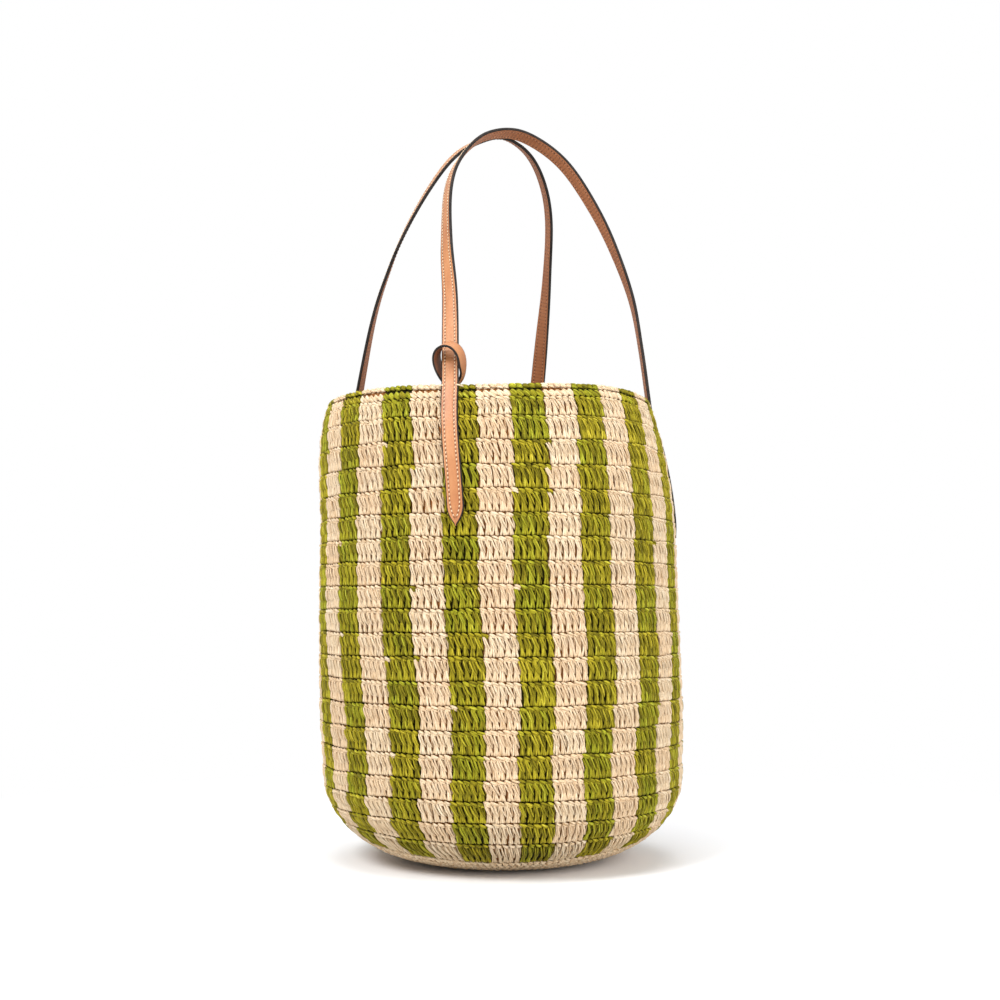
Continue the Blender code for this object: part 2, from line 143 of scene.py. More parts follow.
# The rim's soft rise and fall: azimuth in degrees and height in mm
RIM_RAISES = (
    (-180, 2.0), (-120, 3.0), (-90, 3.6), (-63, 3.4), (-43, 1.6), (-28, 1.3), (-5, 3.8), (17, 6.2), (42, 5.0),
    (62, 4.2), (90, 3.5), (115, 2.2), (135, 1.0), (155, 1.0),
)
BASE_ROUND = 0.0071  # width of each round of the base
SIDE_RISE = 0.009  # the stripes start this much higher at two sides of the bag

# Camera
CAMERA_AZIMUTH = math.radians(-28.5)
CAMERA_AWAY = 1.08
CAMERA_HEIGHT = 0.175
CAMERA_PITCH = math.atan(122 / 1421)
CAMERA_YAW = 3.5 / 1421
CAMERA_LENS = 51.156

rng = np.random.default_rng(11)


def smooth_step(value):
    value = np.clip(value, 0, 1)
    return value * value * (3 - 2 * value)


# The wall's surface


def wall_radius(height):
    height = np.asarray(height, float)
    heights = np.array(
        [CORNER_HEIGHT, CORNER_HEIGHT + BELLY_RISE, RIM_HEIGHT - SHOULDER_DROP, RIM_HEIGHT - NECK_DROP, RIM_HEIGHT]
    )
    radii = np.array([CORNER_RADIUS, BELLY_RADIUS, SHOULDER_RADIUS, NECK_RADIUS, RIM_RADIUS])
    inner = (radii[2:] - radii[:-2]) / (heights[2:] - heights[:-2])
    slopes = np.concatenate([[0], inner, [(RIM_RADIUS - NECK_RADIUS) / NECK_DROP]])
    i = np.clip(np.searchsorted(heights, height) - 1, 0, len(heights) - 2)
    span = heights[i + 1] - heights[i]
    share = (height - heights[i]) / span
    rest = 1 - share
    upper = (
        rest * rest * (1 + 2 * share) * radii[i]
        + share * rest * rest * span * slopes[i]
        + share * share * (1 + 2 * rest) * radii[i + 1]
        - share * share * rest * span * slopes[i + 1]
    )
    below = np.clip(1 - height / CORNER_HEIGHT, 0, 1)
    lower = BASE_RADIUS + (CORNER_RADIUS - BASE_RADIUS) * np.sqrt(1 - below * below)
    return np.where(height >= CORNER_HEIGHT, upper, lower)


def lean(height):
    waist = RIM_HEIGHT - WAIST_DROP
    low = smooth_step((height - BASE_EDGE_HEIGHT) / (waist - BASE_EDGE_HEIGHT))
    high = smooth_step((height - waist) / WAIST_DROP)
    away = np.asarray(WAIST_LEAN * low + (RIM_LEAN - WAIST_LEAN) * high)
    return away[..., None] * np.array([math.sin(LEAN_ANGLE), -math.cos(LEAN_ANGLE), 0])


def wall_point(azimuth, height, out=0.0, across=0.0):
    """A point off the wall. Azimuth 0 is the front; across runs round the bag, towards greater azimuth."""
    height = np.asarray(height, float)
    step = 1e-5
    slope = (wall_radius(height + step) - wall_radius(height - step)) / (2 * step)
    level = 1 / np.hypot(1, slope)
    radius = wall_radius(height) + out * level
    turn = azimuth + across / radius
    place = np.stack([radius * np.sin(turn), -radius * np.cos(turn), height - out * slope * level], -1)
    return place + lean(height)


def make_profile():
    """The bag's outline from the middle of its base up to the rim and a little beyond, by its length."""
    turn = np.linspace(0, math.pi / 2, 300)
    heights = np.concatenate(
        [[0], CORNER_HEIGHT * (1 - np.cos(turn)), np.linspace(CORNER_HEIGHT, RIM_HEIGHT + 0.01, 600)[1:]]
    )
    radii = np.concatenate([[0], wall_radius(heights[1:])])
    lengths = np.concatenate([[0], np.cumsum(np.hypot(np.diff(heights), np.diff(radii)))])
    return lengths, radii, heights, np.gradient(heights, lengths), -np.gradient(radii, lengths)


LENGTHS, RADII, HEIGHTS, NORMAL_OUT, NORMAL_UP = make_profile()


def make_rim_line():
    """The rim's rise and fall with its corners rounded off."""
    turns = np.arange(360.0)
    raises = np.interp(turns, *np.array(RIM_RAISES).T, period=360)
    return turns, np.mean([np.roll(raises, step) for step in range(-9, 10)], axis=0)


RIM_LINE = make_rim_line()


def length_at(height):
    return float(np.interp(height, HEIGHTS[1:], LENGTHS[1:]))


def on_bag(azimuth, along, out):
    """Points of the crochet: azimuth, length up the bag's outline, and distance out of its surface."""
    radius = np.interp(along, LENGTHS, RADII) + out * np.interp(along, LENGTHS, NORMAL_OUT)
    height = np.interp(along, LENGTHS, HEIGHTS)
    raised = np.interp(np.degrees(azimuth), *RIM_LINE, period=360) * MM * smooth_step((height - 0.25) / 0.085)
    level = height + out * np.interp(along, LENGTHS, NORMAL_UP) + raised
    return np.stack([radius * np.sin(azimuth), -radius * np.cos(azimuth), level], -1) + lean(height)


# Meshes


def new_mesh(name, verts, quads, tris, materials, floats=None, vectors=None, uvs=None, slots=None):
    """An object from arrays of points, four- and three-cornered faces, and what its materials read."""
    data = bpy.data.meshes.new(name)
    data.vertices.add(len(verts))
    data.vertices.foreach_set("co", np.asarray(verts, np.float32).ravel())
    corners = np.concatenate([quads.ravel(), tris.ravel()]).astype(np.int32)
    starts = np.concatenate([np.arange(len(quads)) * 4, len(quads) * 4 + np.arange(len(tris)) * 3])
    data.loops.add(len(corners))
    data.loops.foreach_set("vertex_index", corners)
    data.polygons.add(len(starts))
    data.polygons.foreach_set("loop_start", starts.astype(np.int32))
    if slots is not None:
        data.polygons.foreach_set("material_index", slots.astype(np.int32))
    data.update(calc_edges=True)
    for key, values in (floats or {}).items():
        data.attributes.new(key, "FLOAT", "POINT").data.foreach_set("value", np.asarray(values, np.float32).ravel())
    for key, values in (vectors or {}).items():
        layer = data.attributes.new(key, "FLOAT_VECTOR", "POINT")
        layer.data.foreach_set("vector", np.asarray(values, np.float32).ravel())
    if uvs is not None:
        data.uv_layers.new(name="OFBake").uv.foreach_set("vector", np.asarray(uvs, np.float32).ravel())
    data.shade_smooth()
    for material in materials:
        data.materials.append(material)
    obj = bpy.data.objects.new(name, data)
    bpy.context.scene.collection.objects.link(obj)
    return obj


def tube_faces(rings, sides):
    """Faces of one closed tube whose last two points are its ends, and the map places of their corners."""
    ring = np.arange(sides)
    after = (ring + 1) % sides
    k = np.arange(rings - 1)[:, None]
    quads = np.stack(
        [k * sides + ring, (k + 1) * sides + ring, (k + 1) * sides + after, k * sides + after], -1
    ).reshape(-1, 4)
    first = np.stack([ring, after, np.full(sides, rings * sides)], -1)
    last = np.stack([(rings - 1) * sides + after, (rings - 1) * sides + ring, np.full(sides, rings * sides + 1)], -1)
    low, high = ring / sides, (ring + 1) / sides
    v0, v1 = (k + 1) / (rings + 1), (k + 2) / (rings + 1)
    one = np.ones((rings - 1, sides))
    quad_uv = np.stack(
        [np.stack([low * one, v0 * one], -1), np.stack([low * one, v1 * one], -1),
         np.stack([high * one, v1 * one], -1), np.stack([high * one, v0 * one], -1)], 2,
    ).reshape(-1, 4, 2)
    bottom, top = np.full(sides, 1 / (rings + 1)), np.full(sides, rings / (rings + 1))
    middle = (low + high) / 2
    first_uv = np.stack([np.stack([low, bottom], -1), np.stack([high, bottom], -1), np.stack([middle, 0 * low], -1)], 1)
    last_uv = np.stack([np.stack([high, top], -1), np.stack([low, top], -1), np.stack([middle, 0 * low + 1], -1)], 1)
    return quads, np.concatenate([first, last]), quad_uv, np.concatenate([first_uv, last_uv])


class Yarn:
    """Strands of crochet that are gathered into one mesh."""

    def __init__(self):
        self.groups = []

    def add(self, azimuth, x, y, out, wide, thick, dye, sides, twist, turn, lot, shade_lift):
        """Strands, one row of numbers each: across and along the bag, out of it, half width, half thickness."""
        count, rings = x.shape
        dx, dy = np.gradient(x, axis=1), np.gradient(y, axis=1)
        size = np.maximum(np.hypot(dx, dy), 1e-9)
        steps = np.linspace(0, 1, rings)
        angle = np.arange(sides) * 2 * math.pi / sides
        phase = rng.uniform(0, 2 * math.pi, (count, 1, 1))
        spin = angle + twist * steps[None, :, None] + phase
        bulk = 1 + 0.08 * np.cos(2 * spin) + 0.07 * np.cos(4 * spin + 3 * phase)
        flat = wide[:, :, None] * np.cos(angle) * bulk
        px = x[:, :, None] + flat * (dy / size)[:, :, None]
        py = y[:, :, None] - flat * (dx / size)[:, :, None]
        po = out[:, :, None] + thick[:, :, None] * np.sin(angle) * bulk
        reach = 0.5 * wide[:, [0, -1]] * np.array([-1, 1])
        px = np.concatenate([px.reshape(count, -1), x[:, [0, -1]] + reach * (dx / size)[:, [0, -1]]], 1)
        py = np.concatenate([py.reshape(count, -1), y[:, [0, -1]] + reach * (dy / size)[:, [0, -1]]], 1)
        po = np.concatenate([po.reshape(count, -1), out[:, [0, -1]]], 1)
        places = on_bag(azimuth[:, None] + px * turn, py, po)
        run = np.cumsum(size, axis=1)[:, :, None] / MM
        grain = np.stack([np.cos(spin), np.sin(spin), np.broadcast_to(run, spin.shape)], -1).reshape(count, -1, 3)
        ends = np.zeros((count, 2, 3))
        ends[:, 1, 2] = run[:, -1, 0]
        self.groups.append(
            {
                "places": places,
                "grain": np.concatenate([grain, ends], 1),
                # The depth attribute drives the raffia's painted shade; the last argument raises it, so strands set
                # back or on the inside are painted as lit.
                "depth": po / MM + shade_lift,
                "dye": np.broadcast_to(dye[:, None], po.shape),
                "seed": np.broadcast_to(rng.uniform(0, 1, (count, 1)), po.shape),
                "lot": np.broadcast_to(lot[:, None], po.shape),
                "faces": tube_faces(rings, sides),
            }
        )

    def build(self, name, material):
        total = sum(len(g["places"]) for g in self.groups)
        columns = math.ceil(math.sqrt(total))
        lists = {key: [] for key in ("places", "grain", "depth", "dye", "seed", "lot")}
        quads, tris, quad_uvs, tri_uvs = [], [], [], []
        offset = cell = 0
        for group in self.groups:
            count, points = group["depth"].shape
            for key in lists:
                lists[key].append(group[key].reshape(count * points, -1))
            quad, tri, quad_uv, tri_uv = group["faces"]
            base = (offset + np.arange(count) * points)[:, None, None]
            spot = cell + np.arange(count)
            corner = np.stack([spot % columns, spot // columns], -1)[:, None, None, :] + 0.03
            quads.append((base + quad).reshape(-1, 4))
            tris.append((base + tri).reshape(-1, 3))
            quad_uvs.append(((corner + 0.94 * quad_uv) / columns).reshape(-1, 2))
            tri_uvs.append(((corner + 0.94 * tri_uv) / columns).reshape(-1, 2))
            offset += count * points
            cell += count
        values = {key: np.concatenate(value) for key, value in lists.items()}
        return new_mesh(
            name, values["places"], np.concatenate(quads), np.concatenate(tris), [material],
            floats={key: values[key] for key in ("depth", "dye", "seed", "lot")},
            vectors={"grain": values["grain"]},
            uvs=np.concatenate(quad_uvs + tri_uvs),
        )


# Stitches. Each row: share of the round's height, then across, out, half width and half thickness in mm.
# A post's own middle; its strands fan out from it
POST = np.array(
    [
        (0.004, 0.35, -1.90, 0.60, 0.55), (0.040, 0.35, -1.15, 0.88, 0.85), (0.10, 0.34, -0.85, 0.90, 0.92),
        (0.19, 0.30, -0.82, 0.86, 0.92), (0.30, 0.22, -0.88, 0.80, 0.88), (0.45, 0.08, -1.00, 0.72, 0.80),
        (0.61, -0.14, -1.15, 0.66, 0.72), (0.76, -0.38, -1.35, 0.60, 0.62), (0.87, -0.52, -1.95, 0.38, 0.42),
    ]
)
FAN = np.array([1.32, 1.32, 1.18, 0.86, 0.70, 0.58, 0.46, 0.36, 0.30])
FAN_STRANDS = ((-1.25, 0.25), (0.0, -0.1), (1.25, 0.15))  # across, times the fan, and set back
# Two strands that cross the post
WRAP = np.array(
    [
        (0.90, -2.15, -1.60, 0.38, 0.38), (0.84, -1.85, -0.62, 0.60, 0.62), (0.74, -1.25, -0.15, 0.68, 0.70),
        (0.60, -0.35, -0.02, 0.68, 0.70), (0.46, 0.65, -0.20, 0.64, 0.66), (0.35, 1.45, -0.70, 0.54, 0.54),
        (0.27, 2.05, -1.60, 0.32, 0.34),
    ]
)
WRAP_STRANDS = ((-0.66, -0.020), (0.66, 0.020))  # across and up
# A strand between two posts, set back
FILL = np.array(
    [
        (0.92, 1.55, -2.00, 0.40, 0.40), (0.84, 1.70, -1.45, 0.64, 0.62), (0.70, 1.98, -1.25, 0.72, 0.70),
        (0.55, 2.22, -1.30, 0.70, 0.68), (0.40, 2.40, -1.45, 0.62, 0.60), (0.28, 2.50, -2.05, 0.38, 0.40),
    ]
)
# Chain along the top of a round: below its top in mm, then as above
CHAIN = np.array(
    [
        (-0.45, -3.10, -1.70, 0.42, 0.45), (-0.62, -2.25, -0.75, 0.78, 0.78), (-1.00, -0.95, -0.28, 0.96, 0.92),
        (-1.50, 0.45, -0.28, 0.96, 0.92), (-2.00, 1.60, -0.75, 0.78, 0.76), (-2.35, 2.40, -1.70, 0.42, 0.44),
    ]
)
UNDER_CHAIN = np.array(
    [
        (-1.60, -2.95, -2.00, 0.40, 0.45), (-1.95, -2.10, -1.10, 0.76, 0.74), (-2.40, -0.90, -0.72, 0.88, 0.84),
        (-2.90, 0.35, -0.72, 0.86, 0.82), (-3.40, 1.40, -1.10, 0.70, 0.70), (-3.75, 2.10, -2.00, 0.38, 0.40),
    ]
)
# Slanted leaf of the rim's lower round: above its start in mm, then as above
LEAF = np.array(
    [
        (0.30, 2.75, -2.00, 0.50, 0.55), (0.75, 2.25, -1.10, 0.84, 0.90), (1.55, 1.20, -0.62, 0.96, 1.05),
        (2.50, 0.00, -0.50, 0.98, 1.08), (3.45, -1.20, -0.62, 0.94, 1.02), (4.15, -2.20, -1.10, 0.80, 0.86),
        (4.55, -2.70, -2.00, 0.45, 0.50),
    ]
)
LEAF_STRANDS = ((-0.75, -0.85), (0.0, 0.0), (0.75, 0.85))  # across and up, in mm
# Chain on top of the rim: from its middle in mm, then as above
ROPE = np.array(
    [
        (0.55, -3.40, -1.90, 0.45, 0.50), (0.42, -2.40, -1.10, 0.82, 0.85), (0.18, -1.00, -0.75, 0.98, 1.00),
        (-0.12, 0.50, -0.75, 0.98, 1.00), (-0.42, 1.70, -1.10, 0.82, 0.85), (-0.60, 2.50, -1.90, 0.45, 0.50),
    ]
)
ROPE_STRANDS = ((0.75, 0.3), (-0.65, 0.0))  # up, and set back
# Short stitch of the base: share of its height, then as above
SHORT = np.array(
    [
        (0.00, 0.55, -2.45, 1.30, 1.00), (0.10, 0.50, -1.70, 1.95, 1.40), (0.28, 0.30, -1.25, 2.30, 1.55),
        (0.50, 0.00, -1.15, 2.25, 1.60), (0.70, -0.30, -1.25, 2.10, 1.50), (0.87, -0.50, -1.65, 1.75, 1.20),
        (1.00, -0.65, -2.30, 0.95, 0.80),
    ]
)


def stitch_azimuth(number, row=WALL_ROUNDS - 1):
    """Where a stitch of this round of the wall stands, counted from the edge of a stripe."""
    even = number * STITCH_TURN
    azimuth = STRIPE_START + even + UNEVEN * np.sin(even + UNEVEN_FROM)
    return azimuth + np.radians(PULL[row] + SIDE_PULL[row] * np.sin(azimuth - CAMERA_AZIMUTH))


def dye_of(number):
    """0 for natural raffia and 1 for green."""
    return ((np.floor(number / STITCHES_PER_STRIPE).astype(int)) % 2).astype(float)


def waves(count, size):
    """A gentle wobble round the bag, made of a few waves."""
    parts = [(m, rng.uniform(0, 2 * math.pi)) for m in (3, 7, 12, 19)[:count]]
    return lambda azimuth: size * sum(np.sin(m * azimuth + p) for m, p in parts) / math.sqrt(count)


def spread(count, size):
    return np.clip(rng.normal(0, size, (count, 1)), -2.2 * size, 2.2 * size)


def put(yarn, form, azimuth, y, dye, lot, sides, twist, loose=1.0, turn=STITCH_TURN / PITCH, drop=0.0, inner=False):
    """One strand of this form at each azimuth, each a little different from the next."""
    count = len(azimuth)
    share = form[:, 0]
    middle = (share - share.mean()) / np.ptp(share)
    grow = 1 + loose * spread(count, 0.08)
    x = grow * form[:, 1] + loose * (spread(count, 0.22) + spread(count, 0.6) * middle)
    out = form[:, 2] + loose * spread(count, 0.14) - drop
    wide = grow * form[:, 3]
    thick = (1 + loose * spread(count, 0.06)) * form[:, 4]
    lift = loose * spread(count, 0.16) * MM
    # The painted shade reads each strand's depth before its drop, and strands on the inside of the rim get it lifted by
    # 1.3 mm more, so they are painted lit.
    yarn.add(azimuth, x * MM, y + lift, out * MM, wide * MM, thick * MM, dye, sides, twist, turn, lot,
             drop + 1.3 * inner)


def inner_shell(name, low, high, row, lots):
    """The backs of the stitches: a ribbed skin behind the posts, which closes the slits between them; its outer face is
    painted in dark shade and its inner face painted lit.
    """
    per_stitch = 3
    count = STITCHES * per_stitch
    number = (np.arange(count) + 0.5) / per_stitch
    azimuth = stitch_azimuth(number, row)
    rib = np.cos(2 * math.pi * number)
    loop = [
        (-0.03, -2.3, 0.0), (0.25, -2.15, 0.1), (0.75, -2.15, 0.1), (1.03, -2.3, 0.0), (1.03, -3.0, 0.0),
        (0.90, -3.45, 0.15), (0.78, -3.15, 0.1), (0.62, -3.45, 0.3), (0.38, -3.5, 0.3), (0.16, -3.3, 0.3),
        (-0.03, -2.9, 0.1),
    ]
    shares = np.array([p[0] for p in loop])
    y = low(azimuth)[:, None] + shares * (high(azimuth) - low(azimuth))[:, None]
    out = np.array([p[1] for p in loop]) + rib[:, None] * np.array([p[2] for p in loop])
    stitch = np.floor(number).astype(int)
    seed = rng.uniform(0, 1, STITCHES)[stitch]
    # Painted shade: the front of the skin keeps its deep value and shows dark in the slits; the back, facing into the
    # bag, is given a shallow value so it is painted lit.
    return skin(name, azimuth, y, out, np.where(out < -2.7, out + 2.6, out), dye_of(number), seed, lots[stitch])


def base_shell(edge):
    """The backs of the base's stitches, ribbed round by round, which close the slits between them."""
    count = 240
    azimuth = (np.arange(count) + 0.5) * 2 * math.pi / count
    share = np.linspace(0.003, 1.0, 100)
    y = np.concatenate([share, share[::-1]]) * edge(azimuth)[:, None]
    rib = 0.4 * np.cos(2 * math.pi * y / BASE_ROUND) + 0.15 * np.cos(60 * azimuth)[:, None]
    upper = np.arange(2 * len(share)) >= len(share)
    out = np.where(upper, -3.1 + rib, -2.0)
    # Painted shade: the inner face is darker in the hollows of its ribs, and the outer face under the base is painted
    # mostly in shade.
    depth = np.where(upper, -1.1 - 0.9 * rib, -1.8)
    piece = skin("base_crochet_back", azimuth, y, out, depth, np.zeros(count), 0.3 + 0 * azimuth, 0.5 + 0 * azimuth)
    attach(piece, "bag")


def skin(name, azimuth, y, out, depth, dye, seed, lot):
    """A closed sheet round the bag, from one row of numbers at each azimuth, once round its section."""
    places = on_bag(np.broadcast_to(azimuth[:, None], y.shape), y, out * MM)
    rings, sides = y.shape
    k, s = np.meshgrid(np.arange(rings), np.arange(sides), indexing="ij")
    after_k, after_s = (k + 1) % rings, (s + 1) % sides
    quads = np.stack([k * sides + s, after_k * sides + s, after_k * sides + after_s, k * sides + after_s], -1)
    uv = np.stack(
        [np.stack([k, s], -1), np.stack([k + 1, s], -1), np.stack([k + 1, s + 1], -1), np.stack([k, s + 1], -1)], 2
    ) / np.array([rings, sides])
    turn = 4 * azimuth[:, None] * STITCHES / 6 + 0 * y
    # The depth values set the raffia's painted shade on this sheet.
    floats = {"depth": depth, "dye": dye[:, None] + 0 * y, "seed": seed[:, None] + 0 * y, "lot": lot[:, None] + 0 * y}
    return new_mesh(
        name, places.reshape(-1, 3), quads.reshape(-1, 4), np.zeros((0, 3), int), [RAFFIA], floats=floats,
        vectors={"grain": np.stack([np.cos(turn), np.sin(turn), y / MM], -1).reshape(-1, 3)}, uvs=uv.reshape(-1, 2),
    )


# Materials


def start_material(name):
    material = bpy.data.materials.new(name)
    material.use_nodes = True
    tree = material.node_tree
    shader = tree.nodes["Principled BSDF"]
    return material, tree, shader


def add(tree, kind, inputs=None, **settings):
    """A node with these settings; inputs are given by name or number, as a socket or a value."""
    node = tree.nodes.new(kind)
    for key, value in settings.items():
        setattr(node, key, value)
    for key, value in (inputs or {}).items():
        if isinstance(value, bpy.types.NodeSocket):
            tree.links.new(value, node.inputs[key])
        else:
            node.inputs[key].default_value = value
    return node


def attribute(tree, name):
    return add(tree, "ShaderNodeAttribute", attribute_name=name)


def ramp(tree, source, stops):
    node = add(tree, "ShaderNodeValToRGB", {0: source})
    elements = node.color_ramp.elements
    while len(elements) < len(stops):
        elements.new(0.5)
    for element, (position, colour) in zip(elements, stops):
        element.position = position
        element.color = (*colour, 1)
    return node.outputs[0]


def mix(tree, share, a, b, how="MIX"):
    node = add(tree, "ShaderNodeMix", {0: share}, data_type="RGBA", blend_type=how)
    for socket, value in ((node.inputs[6], a), (node.inputs[7], b)):
        if isinstance(value, bpy.types.NodeSocket):
            tree.links.new(value, socket)
        else:
            socket.default_value = (*value, 1)
    return node.outputs[2]


def maths(tree, how, a, b=0.0, c=0.0):
    return add(tree, "ShaderNodeMath", {0: a, 1: b, 2: c}, operation=how).outputs[0]


def between(tree, value, low, high, to_low=0.0, to_high=1.0):
    node = add(tree, "ShaderNodeMapRange", {0: value, 1: low, 2: high, 3: to_low, 4: to_high})
    return node.outputs[0]


def noise(tree, vector, scale, detail=3.0, seed=None, rough=0.6):
    inputs = {"Scale": scale, "Detail": detail, "Roughness": rough, "Vector": vector}
    if seed is not None:
        inputs["W"] = seed
    return add(tree, "ShaderNodeTexNoise", inputs, noise_dimensions="3D" if seed is None else "4D").outputs[0]


def stretched(tree, vector, sizes):
    return add(tree, "ShaderNodeVectorMath", {0: vector, 1: sizes}, operation="MULTIPLY").outputs[0]


def raffia_material(name):
    """Split palm fibre: streaks along each strand, each strand and bundle of its own tone, and painted shade that
    darkens each strand by how deep it lies in the crochet.
    """
    material, tree, shader = start_material(name)
    grain = attribute(tree, "grain").outputs["Vector"]
    seed = attribute(tree, "seed").outputs["Fac"]
    lot = attribute(tree, "lot").outputs["Fac"]
    dye = attribute(tree, "dye").outputs["Fac"]
    depth = attribute(tree, "depth").outputs["Fac"]
    offset = maths(tree, "MULTIPLY", seed, 91.0)
    streak = noise(tree, stretched(tree, grain, (1.0, 1.0, 0.07)), 1.15, 2.0, offset)
    fine = noise(tree, stretched(tree, grain, (1.0, 1.0, 0.05)), 3.2, 2.0, offset)
    tone = between(tree, maths(tree, "ADD", maths(tree, "MULTIPLY", streak, 0.6), maths(tree, "MULTIPLY", fine, 0.4)),
                   0.36, 0.64)
    natural = ramp(tree, tone, [(0, (0.46, 0.29, 0.14)), (0.35, (0.84, 0.645, 0.42)), (1, (0.98, 0.86, 0.66))])
    natural = mix(tree, maths(tree, "MULTIPLY", lot, 0.5), natural, mix(tree, 1.0, natural, (0.97, 0.84, 0.74),
                                                                         "MULTIPLY"))
    shade = maths(tree, "ADD", maths(tree, "MULTIPLY", tone, 0.6), maths(tree, "MULTIPLY", seed, 0.4))
    green = ramp(tree, shade, [(0, (0.05, 0.043, 0.002)), (0.35, (0.215, 0.178, 0.006)),
                               (0.65, (0.46, 0.375, 0.016)), (1, (0.82, 0.665, 0.07))])
    leafy = between(tree, maths(tree, "ADD", maths(tree, "MULTIPLY", seed, 0.6), maths(tree, "MULTIPLY", lot, 0.7)),
                    0.6, 1.2)
    green = mix(tree, maths(tree, "MULTIPLY", leafy, 0.6), green, mix(tree, 1.0, green, (0.62, 0.92, 0.9),
                                                                      "MULTIPLY"))
    natural = mix(tree, maths(tree, "MULTIPLY", seed, 0.16), natural, (0.50, 0.33, 0.17))
    colour = mix(tree, dye, natural, green)
    # Painted shade: below a depth that differs for natural and green, the colour is multiplied towards the shadow
    # colour, darkening the crevices and slits.
    shadow = mix(tree, dye, (0.45, 0.23, 0.095), (0.06, 0.055, 0.010))
    lit = between(tree, depth, maths(tree, "MULTIPLY_ADD", dye, 0.1, -2.1), maths(tree, "MULTIPLY_ADD", dye, 0.5, -0.6))
    colour = mix(tree, 1.0, colour, mix(tree, lit, shadow, (1, 1, 1)), "MULTIPLY")
    tree.links.new(colour, shader.inputs["Base Color"])
    tree.links.new(between(tree, tone, 0, 1, 0.66, 0.5), shader.inputs["Roughness"])
    shader.inputs["Specular IOR Level"].default_value = 0.16
    bump = add(tree, "ShaderNodeBump", {"Strength": 0.9, "Distance": 0.0006, "Height": tone})
    tree.links.new(bump.outputs[0], shader.inputs["Normal"])
    return material


def leather_material(name, dark, middle, light, rough, grain_size, crease=0.25):
    """Smooth leather with fine pores, soft cloudy colour, and needle holes along its seams painted in as dark shade."""
    material, tree, shader = start_material(name)
    place = attribute(tree, "strap").outputs["Vector"]
    seam = attribute(tree, "seam").outputs["Fac"]
    run = add(tree, "ShaderNodeSeparateXYZ", {0: place}).outputs[0]
    cloud = noise(tree, stretched(tree, place, (28.0, 60.0, 20.0)), 1.0, 4.0)
    pores = noise(tree, stretched(tree, place, (900.0, 1100.0, 900.0)), grain_size, 3.0)
    lines = noise(tree, stretched(tree, place, (420.0, 30.0, 60.0)), 1.0, 2.0)
    tone = between(tree, maths(tree, "ADD", maths(tree, "MULTIPLY", cloud, 0.85), maths(tree, "MULTIPLY", pores, 0.15)),
                   0.3, 0.7)
    colour = ramp(tree, tone, [(0, dark), (0.5, middle), (1, light)])
    colour = mix(tree, maths(tree, "MULTIPLY", between(tree, lines, 0.6, 0.75), crease), colour, dark)
    step = maths(tree, "PINGPONG", maths(tree, "DIVIDE", run, STITCH_PITCH), 0.5)
    beside = maths(tree, "DIVIDE", seam, 0.0007)
    along = maths(tree, "DIVIDE", maths(tree, "MULTIPLY", step, STITCH_PITCH), 0.00095)
    away = maths(tree, "ADD", maths(tree, "MULTIPLY", beside, beside), maths(tree, "MULTIPLY", along, along))
    # Painted shade: a near-black dot at each needle hole between the stitches.
    hole_shade = between(tree, away, 1.1, 0.5)
    colour = mix(tree, maths(tree, "MULTIPLY", hole_shade, 0.95), colour, (0.08, 0.027, 0.011))
    pressed = between(tree, maths(tree, "ABSOLUTE", seam), 0.0009, 0.0)
    colour = mix(tree, maths(tree, "MULTIPLY", pressed, 0.6), colour, dark)
    tree.links.new(colour, shader.inputs["Base Color"])
    tree.links.new(between(tree, pores, 0.3, 0.7, rough + 0.08, rough - 0.06), shader.inputs["Roughness"])
    height = maths(tree, "ADD", pores, maths(tree, "MULTIPLY", lines, 0.6))
    bump = add(tree, "ShaderNodeBump", {"Strength": 0.3, "Distance": 0.0003, "Height": height})
    tree.links.new(bump.outputs[0], shader.inputs["Normal"])
    return material


def edge_material():
    """Black edge paint, glossy and slightly uneven."""
    material, tree, shader = start_material("edge_paint")
    place = attribute(tree, "strap").outputs["Vector"]
    cloud = noise(tree, stretched(tree, place, (160.0, 300.0, 300.0)), 1.0, 3.0)
    colour = ramp(tree, cloud, [(0.3, (0.012, 0.010, 0.009)), (0.7, (0.034, 0.027, 0.024))])
    shader.inputs["Specular IOR Level"].default_value = 0.12
    tree.links.new(colour, shader.inputs["Base Color"])
    tree.links.new(between(tree, cloud, 0.3, 0.7, 0.46, 0.56), shader.inputs["Roughness"])
    bump = add(tree, "ShaderNodeBump", {"Strength": 0.2, "Distance": 0.0003, "Height": cloud})
    tree.links.new(bump.outputs[0], shader.inputs["Normal"])
    return material


def thread_material(name, dark, light):
    """Waxed thread: twisted plies along each stitch."""
    material, tree, shader = start_material(name)
    place = attribute(tree, "strap").outputs["Vector"]
    twist = add(tree, "ShaderNodeTexWave", {"Vector": stretched(tree, place, (1.0, 1.0, 1.0)), "Scale": 900.0,
                                            "Distortion": 1.5, "Detail": 1.0})
    colour = ramp(tree, twist.outputs["Fac"], [(0, dark), (0.5, light), (1, light)])
    tree.links.new(colour, shader.inputs["Base Color"])
    shader.inputs["Roughness"].default_value = 0.6
    bump = add(tree, "ShaderNodeBump", {"Strength": 0.35, "Distance": 0.0002, "Height": twist.outputs["Fac"]})
    tree.links.new(bump.outputs[0], shader.inputs["Normal"])
    return material


RAFFIA = raffia_material("raffia")
FACE_LEATHER = leather_material(
    "face_leather", (0.342, 0.116, 0.039), (0.45, 0.18, 0.065), (0.527, 0.2375, 0.097), 0.42, 1.0
)
LINING_LEATHER = leather_material(
    "lining_leather", (0.275, 0.09, 0.028), (0.352, 0.122, 0.041), (0.43, 0.16, 0.06), 0.58, 0.8
)
